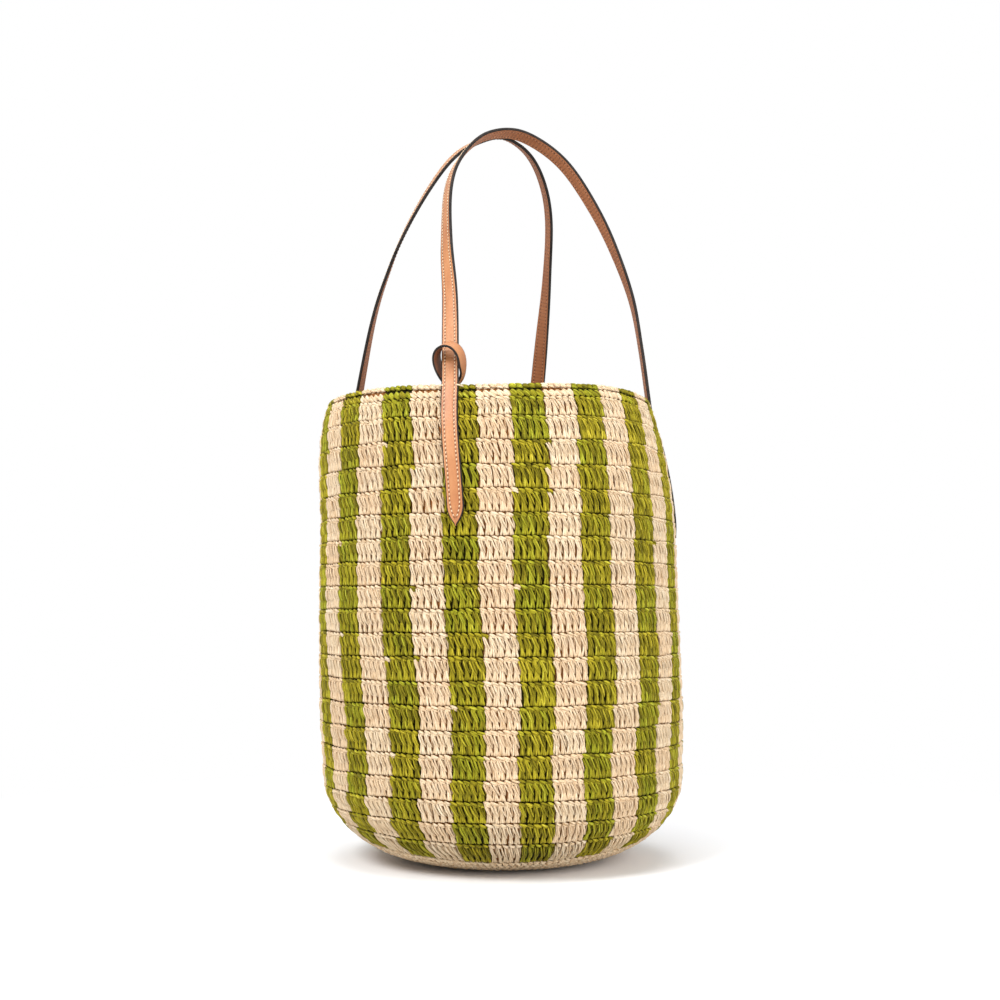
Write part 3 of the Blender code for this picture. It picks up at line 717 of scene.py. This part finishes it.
# A darker copy of the lining leather: painted shade for the inside of the keeper loop, where the band keeps the light
# off.
SHADED_LOOP_LINING = leather_material(
    "shaded_loop_lining", (0.11, 0.036, 0.014), (0.16, 0.055, 0.022), (0.21, 0.075, 0.032), 0.62, 0.8
)
EDGE_PAINT = edge_material()
CREAM_THREAD = thread_material("cream_thread", (0.52, 0.36, 0.20), (0.82, 0.67, 0.47))
BROWN_THREAD = thread_material("brown_thread", (0.30, 0.12, 0.055), (0.50, 0.23, 0.12))


# The crocheted body


def make_body():
    bottom = length_at(BASE_EDGE_HEIGHT)
    top = length_at(WALL_TOP)
    others = [top - FIRST_ROUND - ROUND * i for i in range(WALL_ROUNDS - len(LOW_EDGES))]
    edges = [length_at(height) for height in LOW_EDGES] + others[::-1] + [top]
    wobble = [waves(4, 0.00045) for _ in edges]
    lines = [lambda a, e=e, w=w: e + w(a) for e, w in zip(edges, wobble)]
    side_rise = length_at(BASE_EDGE_HEIGHT + SIDE_RISE) - bottom
    lines[0] = lambda a: bottom + side_rise * np.sin(a - CAMERA_AZIMUTH) ** 2
    lines[1] = lambda a, line=lines[1]: line(a) + 0.35 * side_rise * np.sin(a - CAMERA_AZIMUTH) ** 2
    number = np.arange(STITCHES) + 0.5
    for row in range(WALL_ROUNDS):
        azimuth = stitch_azimuth(number + 0.12 * np.sin(number * 0.35 + rng.uniform(0, 6.3)), row)
        dye = dye_of(number)
        lot = make_lots()
        low, high = lines[row](azimuth)[:, None], lines[row + 1](azimuth)[:, None]
        yarn = Yarn()
        for across, back in FAN_STRANDS:
            form = POST + np.outer(FAN, (0, across, 0, 0, 0))
            put(yarn, form, azimuth, low + form[:, 0] * (high - low), dye, lot, 8, 0.8, drop=back)
        put(yarn, FILL, azimuth, low + FILL[:, 0] * (high - low), dye, lot, 6, 0.8)
        for across, up in WRAP_STRANDS:
            form = WRAP + (up, across, 0, 0, 0)
            put(yarn, form, azimuth, low + form[:, 0] * (high - low), dye, lot, 6, 0.8)
        carried = stray(dye)
        put(yarn, CHAIN, azimuth, high + CHAIN[:, 0] * MM, carried, lot, 6, 1.0)
        put(yarn, UNDER_CHAIN, azimuth, high + UNDER_CHAIN[:, 0] * MM, carried, lot, 6, 1.0)
        piece = yarn.build(f"crochet_round_{row + 1:02d}", RAFFIA)
        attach(piece, "bag")
        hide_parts("side_wall")
        back = inner_shell(f"crochet_back_{row + 1:02d}", lines[row], lines[row + 1], row, lot)
        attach(back, "bag")
    make_rim(lines[-1], number)
    make_base(lines[0])
    base_shell(lines[0])


def make_lots():
    """Each stripe of each round is worked from its own bundle of raffia, which sets its tone."""
    bundle = np.repeat(rng.uniform(0, 1, STRIPES), STITCHES_PER_STRIPE)
    return np.clip(bundle + rng.normal(0, 0.12, STITCHES), 0, 1)


def stray(dye):
    """Now and then the strand that is carried along shows a stitch early or late at a change of colour."""
    before = np.roll(dye, 1)
    return np.where((before != dye) & (rng.uniform(0, 1, len(dye)) < 0.08), before, dye)


def make_rim(line, number):
    azimuth = stitch_azimuth(number)
    dye = dye_of(number)
    start = line(azimuth)[:, None]
    top = length_at(RIM_HEIGHT)
    yarn = Yarn()
    lot = make_lots()
    for across, up in LEAF_STRANDS:
        form = LEAF + (up, across, 0, 0, 0)
        put(yarn, form, azimuth, start + form[:, 0] * MM, dye, lot, 8, 1.0, 0.8)
    piece = yarn.build("rim_crochet_lower", RAFFIA)
    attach(piece, "bag")
    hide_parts("rim_lower_round")
    yarn = Yarn()
    middle = np.full((STITCHES, 1), top - 2.3 * MM)
    for up, back in ROPE_STRANDS:
        put(yarn, ROPE, azimuth, middle + (ROPE[:, 0] + up) * MM, dye, lot, 8, 1.0, 0.8, drop=back)
        put(yarn, ROPE, azimuth, middle - (ROPE[:, 0] - up) * MM, dye, lot, 8, 1.0, 0.8, drop=back + 1.9, inner=True)
    piece = yarn.build("rim_crochet_upper", RAFFIA)
    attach(piece, "bag")
    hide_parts("rim_upper_round")
    back = inner_shell("rim_crochet_back", line, lambda a: 0 * a + top - 2.5 * MM, WALL_ROUNDS - 1, lot)
    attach(back, "bag")


def base_line(edge, index, disc_rounds, rounds):
    """Where a round of the base starts: the rounds beyond its flat disc share what is left up to the edge."""
    if index <= disc_rounds:
        return 0 * edge + index * BASE_RADIUS / disc_rounds
    return BASE_RADIUS + (edge - BASE_RADIUS) * (index - disc_rounds) / (rounds - disc_rounds)


def make_base(edge):
    """Natural rounds of short stitches from the middle of the base to the first striped round."""
    disc_rounds = round(BASE_RADIUS / BASE_ROUND)
    rounds = round(edge(CAMERA_AZIMUTH) / BASE_ROUND)
    parts = {"base_crochet": Yarn(), "base_edge_crochet": Yarn()}
    for index in range(rounds):
        radius = float(np.interp((index + 0.5) * BASE_ROUND, LENGTHS, RADII))
        count = max(6, round(2 * math.pi * radius / 0.0044))
        turn = 2 * math.pi / count / PITCH
        azimuth = (np.arange(count) + rng.uniform(0, 1)) * 2 * math.pi / count
        low, high = (base_line(edge(azimuth), i, disc_rounds, rounds)[:, None] for i in (index, index + 1))
        wide = high - low
        yarn = parts["base_crochet" if index < disc_rounds else "base_edge_crochet"]
        plain = np.zeros(count)
        sunk = 0.75 if index < disc_rounds else 0.75 * (1 - (index - disc_rounds + 0.5) / (rounds - disc_rounds))
        lot = rng.uniform(0.3, 0.9, count)
        put(yarn, SHORT, azimuth, low + 0.0002 + SHORT[:, 0] * 0.75 * wide, plain, lot, 8, 2.0, 0.7, turn, sunk)
        put(yarn, CHAIN, azimuth, low + wide + CHAIN[:, 0] * MM, plain, lot, 8, 2.2, 0.7, turn, sunk)
    for name, yarn in parts.items():
        piece = yarn.build(name, RAFFIA)
        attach(piece, "bag")
        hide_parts("base_disc" if name == "base_crochet" else "base_edge")


# Leather


def unit(vectors):
    return vectors / np.maximum(np.linalg.norm(vectors, axis=-1, keepdims=True), 1e-12)


def sweep(name, places, side, face, half, section, materials, run, sewn=None, closed=False):
    """A band along places. The section lists (inset from the edge, out, zone) once round, in mm."""
    count, points = len(places), len(section)
    sign = np.array([s[0] for s in section])
    inset = np.array([s[1] for s in section]) * MM
    out = np.array([s[2] for s in section]) * MM
    zone = np.array([s[3] for s in section])
    least = 0.00002 * (1 + np.argsort(np.argsort(-inset)))
    across = sign * np.maximum(half[:, None] - inset, np.minimum(least, half[:, None]))
    seam = np.full(across.shape, 0.01) if sewn is None else np.abs(across) - np.nan_to_num(sewn, nan=-0.01)[:, None]
    verts = places[:, None] + side[:, None] * across[..., None] + face[:, None] * out[None, :, None]
    k = np.arange(count if closed else count - 1)[:, None]
    s = np.arange(points)
    after = (k + 1) % count
    quads = np.stack(
        [k * points + s, k * points + (s + 1) % points, after * points + (s + 1) % points, after * points + s], -1
    )
    slots = np.broadcast_to(zone, quads.shape[:2])
    verts = verts.reshape(-1, 3)
    strap = np.stack(
        [np.broadcast_to(run[:, None], across.shape), across, np.broadcast_to(out, across.shape)], -1
    ).reshape(-1, 3)
    seam = seam.ravel()
    tris = np.zeros((0, 3), int)
    tri_slots = np.zeros(0, int)
    if not closed:
        ends = np.stack([places[0], places[-1]])
        verts = np.concatenate([verts, ends])
        strap = np.concatenate([strap, [[run[0], 0, 0], [run[-1], 0, 0]]])
        seam = np.concatenate([seam, [0.01, 0.01]])
        last = (count - 1) * points
        tris = np.concatenate(
            [
                np.stack([(s + 1) % points, s, np.full(points, count * points)], -1),
                np.stack([last + s, last + (s + 1) % points, np.full(points, count * points + 1)], -1),
            ]
        )
        tri_slots = np.ones(len(tris), int)
    return new_mesh(
        name, verts, quads.reshape(-1, 4), tris, materials, floats={"seam": seam}, vectors={"strap": strap},
        slots=np.concatenate([slots.ravel(), tri_slots]),
    )


def strap_section(low, high):
    """Once round a strap: side, inset and height in mm, and zone 0 face, 1 painted edge or 2 lining."""
    up = [
        (0.55, low, 1), (0.12, low + 0.25, 1), (0.0, low + 0.75, 1), (0.0, high - 0.75, 1), (0.12, high - 0.25, 1),
        (0.52, high - 0.03, 1), (0.80, high, 0), (1.75, high + 0.03, 0), (2.2, high - 0.06, 0), (2.55, high - 0.14, 0),
        (2.9, high - 0.06, 0), (3.35, high + 0.03, 0), (4.6, high + 0.08, 0),
    ]
    under = [(1.9, low - 0.02, 2), (2.55, low + 0.1, 2), (3.2, low - 0.02, 2)]
    zones = [zone for *_, zone in up]
    there = [(1, inset, out, zone) for (inset, out, _), zone in zip(up, zones)]
    back = [(-1, inset, out, zone) for (inset, out, _), zone in zip(up[::-1], zones[-2::-1] + [2])]
    below = [(-1, *point) for point in under] + [(1, *point) for point in under[::-1]]
    return there + back + below


def pointed_width(distance, width, point):
    rest = 1 - np.clip(distance / point, 0, 1)
    return np.maximum(width * (1 - rest * rest), POINT_WIDTH) / 2


def smooth_route(points, count):
    """Evenly spaced points on a smooth curve through the given ones."""
    ends = [2 * points[0] - points[1]] + points + [2 * points[-1] - points[-2]]
    fine = []
    for before, start, stop, after in zip(ends, ends[1:], ends[2:], ends[3:]):
        leave = start + (stop - before) / 6
        arrive = stop - (after - start) / 6
        fine += interpolate_bezier(start, leave, arrive, stop, 24)[:-1]
    fine = np.array([tuple(p) for p in fine + [points[-1]]])
    lengths = np.concatenate([[0], np.cumsum(np.linalg.norm(np.diff(fine, axis=0), axis=1))])
    wanted = np.linspace(0, lengths[-1], count + 1)
    return np.stack([np.interp(wanted, lengths, fine[:, i]) for i in range(3)], -1)


def own_foot(azimuth):
    return wall_point(azimuth, RIM_HEIGHT, MIDDLE_OUT) - lean(np.array(RIM_HEIGHT))


def turned(vectors, angle):
    c, s = math.cos(angle), math.sin(angle)
    return vectors @ np.array([[c, s, 0], [-s, c, 0], [0, 0, 1]])


def arch(name):
    """A handle from foot to foot: its middle and the direction of its front edge."""
    left_foot, right_foot = FEET[name]
    left, right = own_foot(-left_foot), own_foot(right_foot)
    span = right - left
    skew = span[1] / span[0]
    top_skew = TOP_SKEWS[name]
    middle = (left + right) / 2

    def depth(x, up):
        lean_in = middle[1] * (1 - up) - HANDLES_APART / 2 * up
        return lean_in + (skew * (1 - up) + top_skew * up) * (x - middle[0])

    points = [Vector(left)]
    for across, up in ARCHES[name]:
        x = left[0] + across * span[0]
        points.append(Vector((x, depth(x, up), left[2] + up * HANDLE_RISE)))
    points.append(Vector(right))
    route = smooth_route(points, 320)
    rise = route[:, 2:] - left[2]
    up = rise / HANDLE_RISE
    steep = (depth(route[:, :1], 1) - depth(route[:, :1], 0)) / HANDLE_RISE
    arch_side = unit(np.concatenate([skew * (1 - up) + top_skew * up, -np.ones_like(up), steep], 1))
    first = np.arange(len(route))[:, None] < len(route) / 2
    foot_side = np.where(
        first,
        [math.cos(left_foot), -math.sin(left_foot), 0],
        [-math.cos(right_foot), -math.sin(right_foot), 0],
    )
    start, end = (np.where(first, *pair) for pair in zip(*TWISTS[name]))
    share = smooth_step((rise - start) / (end - start))
    side = foot_side * (1 - share) + arch_side * share
    facing = FACING[name]
    return turned(route, facing) + lean(np.array(RIM_HEIGHT)), turned(side, facing)


def strap_line(name):
    """A whole strap from one pointed tip to the other: middle, side, face, half width, sewn half, length."""
    facing = FACING[name]
    heights = np.concatenate(
        [np.linspace(RIM_HEIGHT - TAB_LENGTH, RIM_HEIGHT - TAB_LENGTH + TAB_POINT, 15),
         np.linspace(RIM_HEIGHT - TAB_LENGTH + TAB_POINT, RIM_HEIGHT, 40)[1:-1]]
    )
    tip = RIM_HEIGHT - TAB_LENGTH
    start = tip + 0.004
    half = pointed_width(heights - tip, STRAP_WIDTH, TAB_POINT)
    sewn = np.where(
        heights >= start, pointed_width(heights - start, STRAP_WIDTH - 2 * SEAM_INSET, TAB_POINT), np.nan
    )
    places, sides = arch(name)
    parts = [places]
    side_parts = [sides]
    for end, (azimuth, sign) in enumerate(((facing - FEET[name][0], 1), (facing + FEET[name][1], -1))):
        tab = wall_point(azimuth, heights, MIDDLE_OUT)
        tab_side = np.broadcast_to(sign * np.array([math.cos(azimuth), math.sin(azimuth), 0]), tab.shape)
        if end == 0:
            parts.insert(0, tab)
            side_parts.insert(0, tab_side)
        else:
            parts.append(tab[::-1])
            side_parts.append(tab_side[::-1])
    places = np.concatenate(parts)
    side = np.concatenate(side_parts)
    flat = np.full(len(sides), STRAP_WIDTH / 2)
    halves = np.concatenate([half, flat, half[::-1]])
    sewn = np.concatenate([sewn, flat - SEAM_INSET, sewn[::-1]])
    for _ in range(6):  # eases the bend at the rim
        inner = slice(len(half) - 6, len(half) + 6)
        for part in (inner, slice(len(places) - len(half) - 6, len(places) - len(half) + 6)):
            near = np.arange(len(places))[part]
            places[near] = (places[near - 1] + 2 * places[near] + places[near + 1]) / 4
            side[near] = (side[near - 1] + 2 * side[near] + side[near + 1]) / 4
    along = unit(np.gradient(places, axis=0))
    side = unit(side - along * np.sum(side * along, axis=1, keepdims=True))
    face = np.cross(side, along)
    run = np.concatenate([[0], np.cumsum(np.linalg.norm(np.diff(places, axis=0), axis=1))])
    return places, side, face, halves, sewn, run


def tubes(name, lines, normals, radii, sides, material, run):
    """Round threads: lines is (count, rings, 3), with a normal for each ring and its radius."""
    count, rings, _ = lines.shape
    along = unit(np.gradient(lines, axis=1))
    up = unit(normals - along * np.sum(normals * along, axis=-1, keepdims=True))
    beside = np.cross(along, up)
    angle = np.arange(sides) * 2 * math.pi / sides
    ring = beside[:, :, None] * np.cos(angle)[:, None] + up[:, :, None] * np.sin(angle)[:, None]
    verts = (lines[:, :, None] + ring * np.broadcast_to(radii, (count, rings))[:, :, None, None]).reshape(count, -1, 3)
    ends = lines[:, [0, -1]] + along[:, [0, -1]] * (np.array([-1, 1]) * 0.00015)[None, :, None]
    verts = np.concatenate([verts, ends], 1)
    quads, tris, _, _ = tube_faces(rings, sides)
    quads, tris = quads[:, ::-1], tris[:, ::-1]
    base = (np.arange(count) * (rings * sides + 2))[:, None, None]
    length = np.cumsum(np.linalg.norm(np.gradient(lines, axis=1), axis=-1), axis=1)
    place = np.broadcast_to((run[:, None] + length)[:, :, None] + 0.00012 * angle, (count, rings, sides))
    place = np.concatenate([place.reshape(count, -1), run[:, None] + length[:, [0, -1]]], 1)
    strap = np.stack([place, place * 0, place * 0], -1).reshape(-1, 3)
    return new_mesh(
        name, verts.reshape(-1, 3), (base + quads).reshape(-1, 4), (base + tris).reshape(-1, 3), [material],
        vectors={"strap": strap},
    )


def stitch_lines(line, face, side, run, length, dips):
    """Places of the stitches along a sewn line, five points each, sinking into the leather at both ends."""
    first, last = math.ceil(run[0] / STITCH_PITCH), math.floor(run[-1] / STITCH_PITCH)
    middle = (np.arange(first, last) + 0.5) * STITCH_PITCH
    at = middle[:, None] + np.linspace(-0.5, 0.5, len(dips)) * length

    def read(values):
        return np.stack([np.interp(at, run, values[:, i]) for i in range(3)], -1)

    normal = unit(read(face))
    slant = np.linspace(-1, 1, len(dips))[:, None] * 0.00016
    return read(line) + normal * np.array(dips)[:, None] + read(side) * slant, normal, middle


FACE_TOP = (LAYER_GAP / 2 + FACE_THICKNESS) / MM
LINING_LOW = -(LAYER_GAP / 2 + LINING_THICKNESS) / MM


def make_strap(name):
    places, side, face, half, sewn, run = strap_line(name)
    nodes = [f"{name}_handle_face", f"{name}_handle_lining"]
    for end in ("left", "right"):
        nodes += [f"{name}_{end}_tab_face", f"{name}_{end}_tab_lining"]
    strap = sweep(
        f"{name}_strap", places, side, face, half, strap_section(LINING_LOW, FACE_TOP),
        [FACE_LEATHER, EDGE_PAINT, LINING_LEATHER], run, sewn,
    )
    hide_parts(*nodes)
    sewn_part = ~np.isnan(sewn)
    groups = []
    linings = []
    for sign in (1, -1):
        at = places[sewn_part] + side[sewn_part] * (sign * sewn[sewn_part])[:, None]
        top = at + face[sewn_part] * (FACE_TOP - 0.12) * MM
        groups.append(stitch_lines(top, face[sewn_part], side[sewn_part], run[sewn_part], 0.0016,
                                   (-0.00030, 0.00018, 0.00032, 0.00018, -0.00030)))
        under = at + face[sewn_part] * (LINING_LOW + 0.08) * MM
        linings.append(stitch_lines(under, -face[sewn_part], side[sewn_part], run[sewn_part], 0.0020,
                                    (-0.00030, 0.00008, 0.00018, 0.00008, -0.00030)))
    swell = np.array([0.00020, 0.00034, 0.00037, 0.00034, 0.00020])
    stitches = tubes(
        f"{name}_stitches", np.concatenate([g[0] for g in groups]), np.concatenate([g[1] for g in groups]), swell,
        6, CREAM_THREAD, np.concatenate([g[2] for g in groups]),
    )
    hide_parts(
        f"{name}_handle_front_stitching", f"{name}_handle_back_stitching",
        f"{name}_left_tab_stitching", f"{name}_right_tab_stitching",
    )
    under = tubes(
        f"{name}_lining_stitches", np.concatenate([g[0] for g in linings]), np.concatenate([g[1] for g in linings]),
        0.8 * swell, 6, BROWN_THREAD, np.concatenate([g[2] for g in linings]),
    )
    for piece in (strap, stitches, under):
        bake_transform(piece)
    return places, side, face, run


def make_tacks(name):
    """Two thick thread tacks at each strap end, from the strap's edges to the rim."""
    facing = FACING[name]
    height = RIM_HEIGHT - TACK_DROP
    edge = STRAP_WIDTH / 2
    high = SEAT_GAP + LINING_THICKNESS + LAYER_GAP + FACE_THICKNESS
    for end, azimuth in (("left", facing - FEET[name][0]), ("right", facing + FEET[name][1])):
        for word, sign in (("left", -1), ("right", 1)):
            route = (
                (edge - TACK_REACH - 0.0003, high - 0.0006), (edge - TACK_REACH + 0.0002, high + 0.0003),
                (edge - 0.0004, high + 0.0005), (edge + 0.0004, high + 0.0001), (edge + 0.0013, 0.0018),
                (edge + TACK_STEP, 0.0006), (edge + TACK_STEP + 0.0008, -0.0006),
            )
            line = np.array([wall_point(azimuth, height, out, sign * across) for across, out in route])
            normal = np.array([wall_point(azimuth, height, out + 0.01, sign * across) for across, out in route]) - line
            piece = tubes(
                f"{name}_{end}_{word}_tack_thread", line[None], normal[None],
                np.array([0.0003, 0.0005, 0.00055, 0.00055, 0.00052, 0.0005, 0.0003]), 8, CREAM_THREAD, np.zeros(1),
            )
            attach(piece, "bag")
            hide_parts(f"{name}_{end}_{word}_tack")


def make_backing(name):
    """Leather patches inside the wall, which take the tabs' stitches."""
    facing = FACING[name]
    top = RIM_HEIGHT - BACKING_DROP
    heights = np.linspace(top - BACKING_LENGTH, top, 60)
    width = STRAP_WIDTH + 2 * BACKING_MARGIN
    end_gap = np.minimum(top - heights, heights - top + BACKING_LENGTH)
    half = pointed_width(end_gap + BACKING_CORNER, width, 2 * BACKING_CORNER)
    for end, azimuth in (("left", facing - FEET[name][0]), ("right", facing + FEET[name][1])):
        out = -(WALL_THICKNESS + SEAT_GAP + BACKING_THICKNESS / 2)
        places = wall_point(azimuth, heights, out)
        along = unit(np.gradient(places, axis=0))
        side = np.broadcast_to(-np.array([math.cos(azimuth), math.sin(azimuth), 0]), places.shape)
        face = np.cross(side, along)
        piece = sweep(
            f"{name}_{end}_patch", places, side, face, half, patch_section(),
            [LINING_LEATHER, LINING_LEATHER, LINING_LEATHER], heights,
        )
        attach(piece, "bag")
        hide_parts(f"{name}_{end}_backing")


def patch_section():
    half = BACKING_THICKNESS / 2 / MM
    up = [(0.4, -half, 2), (0.05, -half + 0.2, 1), (0.0, 0.0, 1), (0.05, half - 0.2, 1), (0.4, half, 0),
          (1.5, half + 0.02, 0), (1.9, half - 0.12, 0), (2.3, half + 0.02, 0)]
    return [(1, *p) for p in up] + [(-1, *p) for p in up[::-1]]


def make_loop(name, places, side, face, run):
    """A leather band that stands behind the strap at its low end and closes in front of it."""
    foot = np.argmax(places[:, 2] > RIM_HEIGHT)

    def at(distance):
        where = run[foot] + distance
        read = [np.array([np.interp(where, run, values[:, i]) for i in range(3)]) for values in (places, side, face)]
        return read[0], unit(read[1]), unit(read[2])

    behind = LAYER_GAP / 2 + LINING_THICKNESS + LOOP_BACK_SLACK + LOOP_BAND / 2
    stitches = THREAD_GAP + 2 * THREAD_RADIUS
    before = LAYER_GAP / 2 + FACE_THICKNESS + stitches + LOOP_FRONT_SLACK + LOOP_BAND / 2
    place, wide, out = at(LOOP_LIFT)
    low = place - out * behind
    place, _, out = at(LOOP_LIFT + LOOP_TALL)
    tall = place + out * before - low
    wide = np.array(Matrix.Rotation(LOOP_TURN_ANGLE, 3, Vector(tall)) @ Vector(wide))
    wide = unit(wide - tall * (wide @ tall) / (tall @ tall))
    tunnel = unit(np.cross(wide, tall))
    if tunnel @ out < 0:
        tunnel = -tunnel
    half = STRAP_WIDTH / 2 + LOOP_CLEARANCE
    turn = np.linspace(0, 2 * math.pi, 97)[:-1]
    x = half * np.sin(turn) * (1 - LOOP_EGG_SHARE * np.cos(turn))
    x = np.where(x > 0, x * (1 - LOOP_DRAWN_IN / half), x)
    cut = LOOP_CUT * np.cos(np.clip((turn - LOOP_CUT_ANGLE) * 2.0, -math.pi / 2, math.pi / 2)) ** 2
    middle = low + x[:, None] * wide + ((1 - np.cos(turn)) / 2)[:, None] * tall
    middle = middle - tunnel * ((LOOP_DEEPER + cut) / 2)[:, None]
    along = unit(np.roll(middle, -1, axis=0) - np.roll(middle, 1, axis=0))
    outward = np.cross(along, tunnel)
    if np.sum(outward * (middle - middle.mean(axis=0))) < 0:
        outward = -outward
    thick = LOOP_THICKNESS / MM
    up = [(0.35, 0.0, 2), (0.06, 0.22, 1), (0.0, 0.5, 1), (0.0, thick - 0.5, 1), (0.06, thick - 0.22, 1),
          (0.4, thick - 0.02, 1), (0.7, thick, 0), (2.2, thick + 0.06, 0)]
    section = [(1, *p) for p in up] + [(-1, *p) for p in up[::-1]]
    zones = [1, 1, 1, 1, 1, 1, 0, 0, 0, 1, 1, 1, 1, 1, 1, 2]
    section = [(a, b, c, z) for (a, b, c, _), z in zip(section, zones)]
    across = np.broadcast_to(tunnel, middle.shape)
    if np.sum(np.cross(across, along) * outward) < 0:
        across = -across
    length = np.linspace(0, np.linalg.norm(np.diff(middle, axis=0), axis=1).sum(), len(middle))
    # The band's inner side wears the darker copy of the lining: painted shade inside the loop.
    piece = sweep(
        f"{name}_loop", middle, across, outward, (LOOP_BAND + LOOP_DEEPER - cut) / 2, section,
        [FACE_LEATHER, EDGE_PAINT, SHADED_LOOP_LINING], length, closed=True,
    )
    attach(piece, f"{name}_handle")
    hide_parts(f"{name}_keeper_loop")


# Floor, light and camera


def make_floor():
    bpy.ops.mesh.primitive_plane_add(size=30)
    floor = bpy.context.object
    floor.name = "floor"
    material, tree, shader = start_material("white_floor")
    shader.inputs["Roughness"].default_value = 0.9
    shader.inputs["Specular IOR Level"].default_value = 0.0
    place = add(tree, "ShaderNodeTexCoord").outputs["Object"]
    away = add(tree, "ShaderNodeVectorMath", {0: place}, operation="LENGTH").outputs["Value"]
    far = between(tree, away, 0.25, 0.62)
    path = add(tree, "ShaderNodeLightPath").outputs
    seen = maths(tree, "MAXIMUM", path["Is Camera Ray"], maths(tree, "MAXIMUM", path["Is Glossy Ray"],
                                                               path["Is Transmission Ray"]))
    tree.links.new(mix(tree, seen, (0.86, 0.86, 0.86), (1.05, 1.06, 1.09)), shader.inputs["Base Color"])
    glow = add(tree, "ShaderNodeEmission", {"Color": (1, 1, 1, 1), "Strength": 1.0})
    both = add(tree, "ShaderNodeMixShader", {0: maths(tree, "MULTIPLY", far, seen), 1: shader.outputs[0],
                                             2: glow.outputs[0]})
    tree.links.new(both.outputs[0], tree.nodes["Material Output"].inputs["Surface"])
    floor.data.materials.append(material)


def make_world(strength):
    world = bpy.data.worlds.new("white_studio")
    world.use_nodes = True
    tree = world.node_tree
    back = tree.nodes["Background"]
    path = add(tree, "ShaderNodeLightPath").outputs
    seen = maths(tree, "MAXIMUM", path["Is Camera Ray"], maths(tree, "MAXIMUM", path["Is Glossy Ray"],
                                                               path["Is Transmission Ray"]))
    back.inputs["Color"].default_value = (1, 1, 1, 1)
    tree.links.new(between(tree, seen, 0, 1, strength, 1.0), back.inputs["Strength"])
    bpy.context.scene.world = world


def make_lamp(name, azimuth, elevation, away, size, power):
    azimuth, elevation = math.radians(azimuth) + CAMERA_AZIMUTH, math.radians(elevation)
    lamp = bpy.data.lights.new(name, "AREA")
    lamp.shape = "DISK"
    lamp.size = size
    lamp.energy = power
    obj = bpy.data.objects.new(name, lamp)
    target = Vector((0, 0, 0.22))
    way = Vector((math.sin(azimuth) * math.cos(elevation), -math.cos(azimuth) * math.cos(elevation), math.sin(elevation)))
    obj.location = target + way * away
    obj.rotation_euler = way.to_track_quat("Z", "Y").to_euler()
    bpy.context.scene.collection.objects.link(obj)


def make_camera():
    lens = bpy.data.cameras.new("camera")
    lens.lens = CAMERA_LENS
    lens.sensor_width = 36
    lens.clip_start = 0.05
    camera = bpy.data.objects.new("camera", lens)
    camera.location = (
        math.sin(CAMERA_AZIMUTH) * CAMERA_AWAY, -math.cos(CAMERA_AZIMUTH) * CAMERA_AWAY, CAMERA_HEIGHT
    )
    camera.rotation_euler = (math.pi / 2 + CAMERA_PITCH, 0, CAMERA_AZIMUTH + CAMERA_YAW)
    bpy.context.scene.collection.objects.link(camera)
    bpy.context.scene.camera = camera


make_body()
for handle in ("front", "rear"):
    line = make_strap(handle)
    make_tacks(handle)
    make_backing(handle)
    make_loop(handle, *line)
make_floor()
make_world(0.52)
make_lamp("key", -36, 38, 1.9, 0.8, 25)
make_lamp("fill", 44, 18, 2.0, 1.4, 22)
make_lamp("top", 0, 82, 1.7, 1.6, 17)
make_camera()
bpy.context.scene.view_settings.view_transform = "Standard"
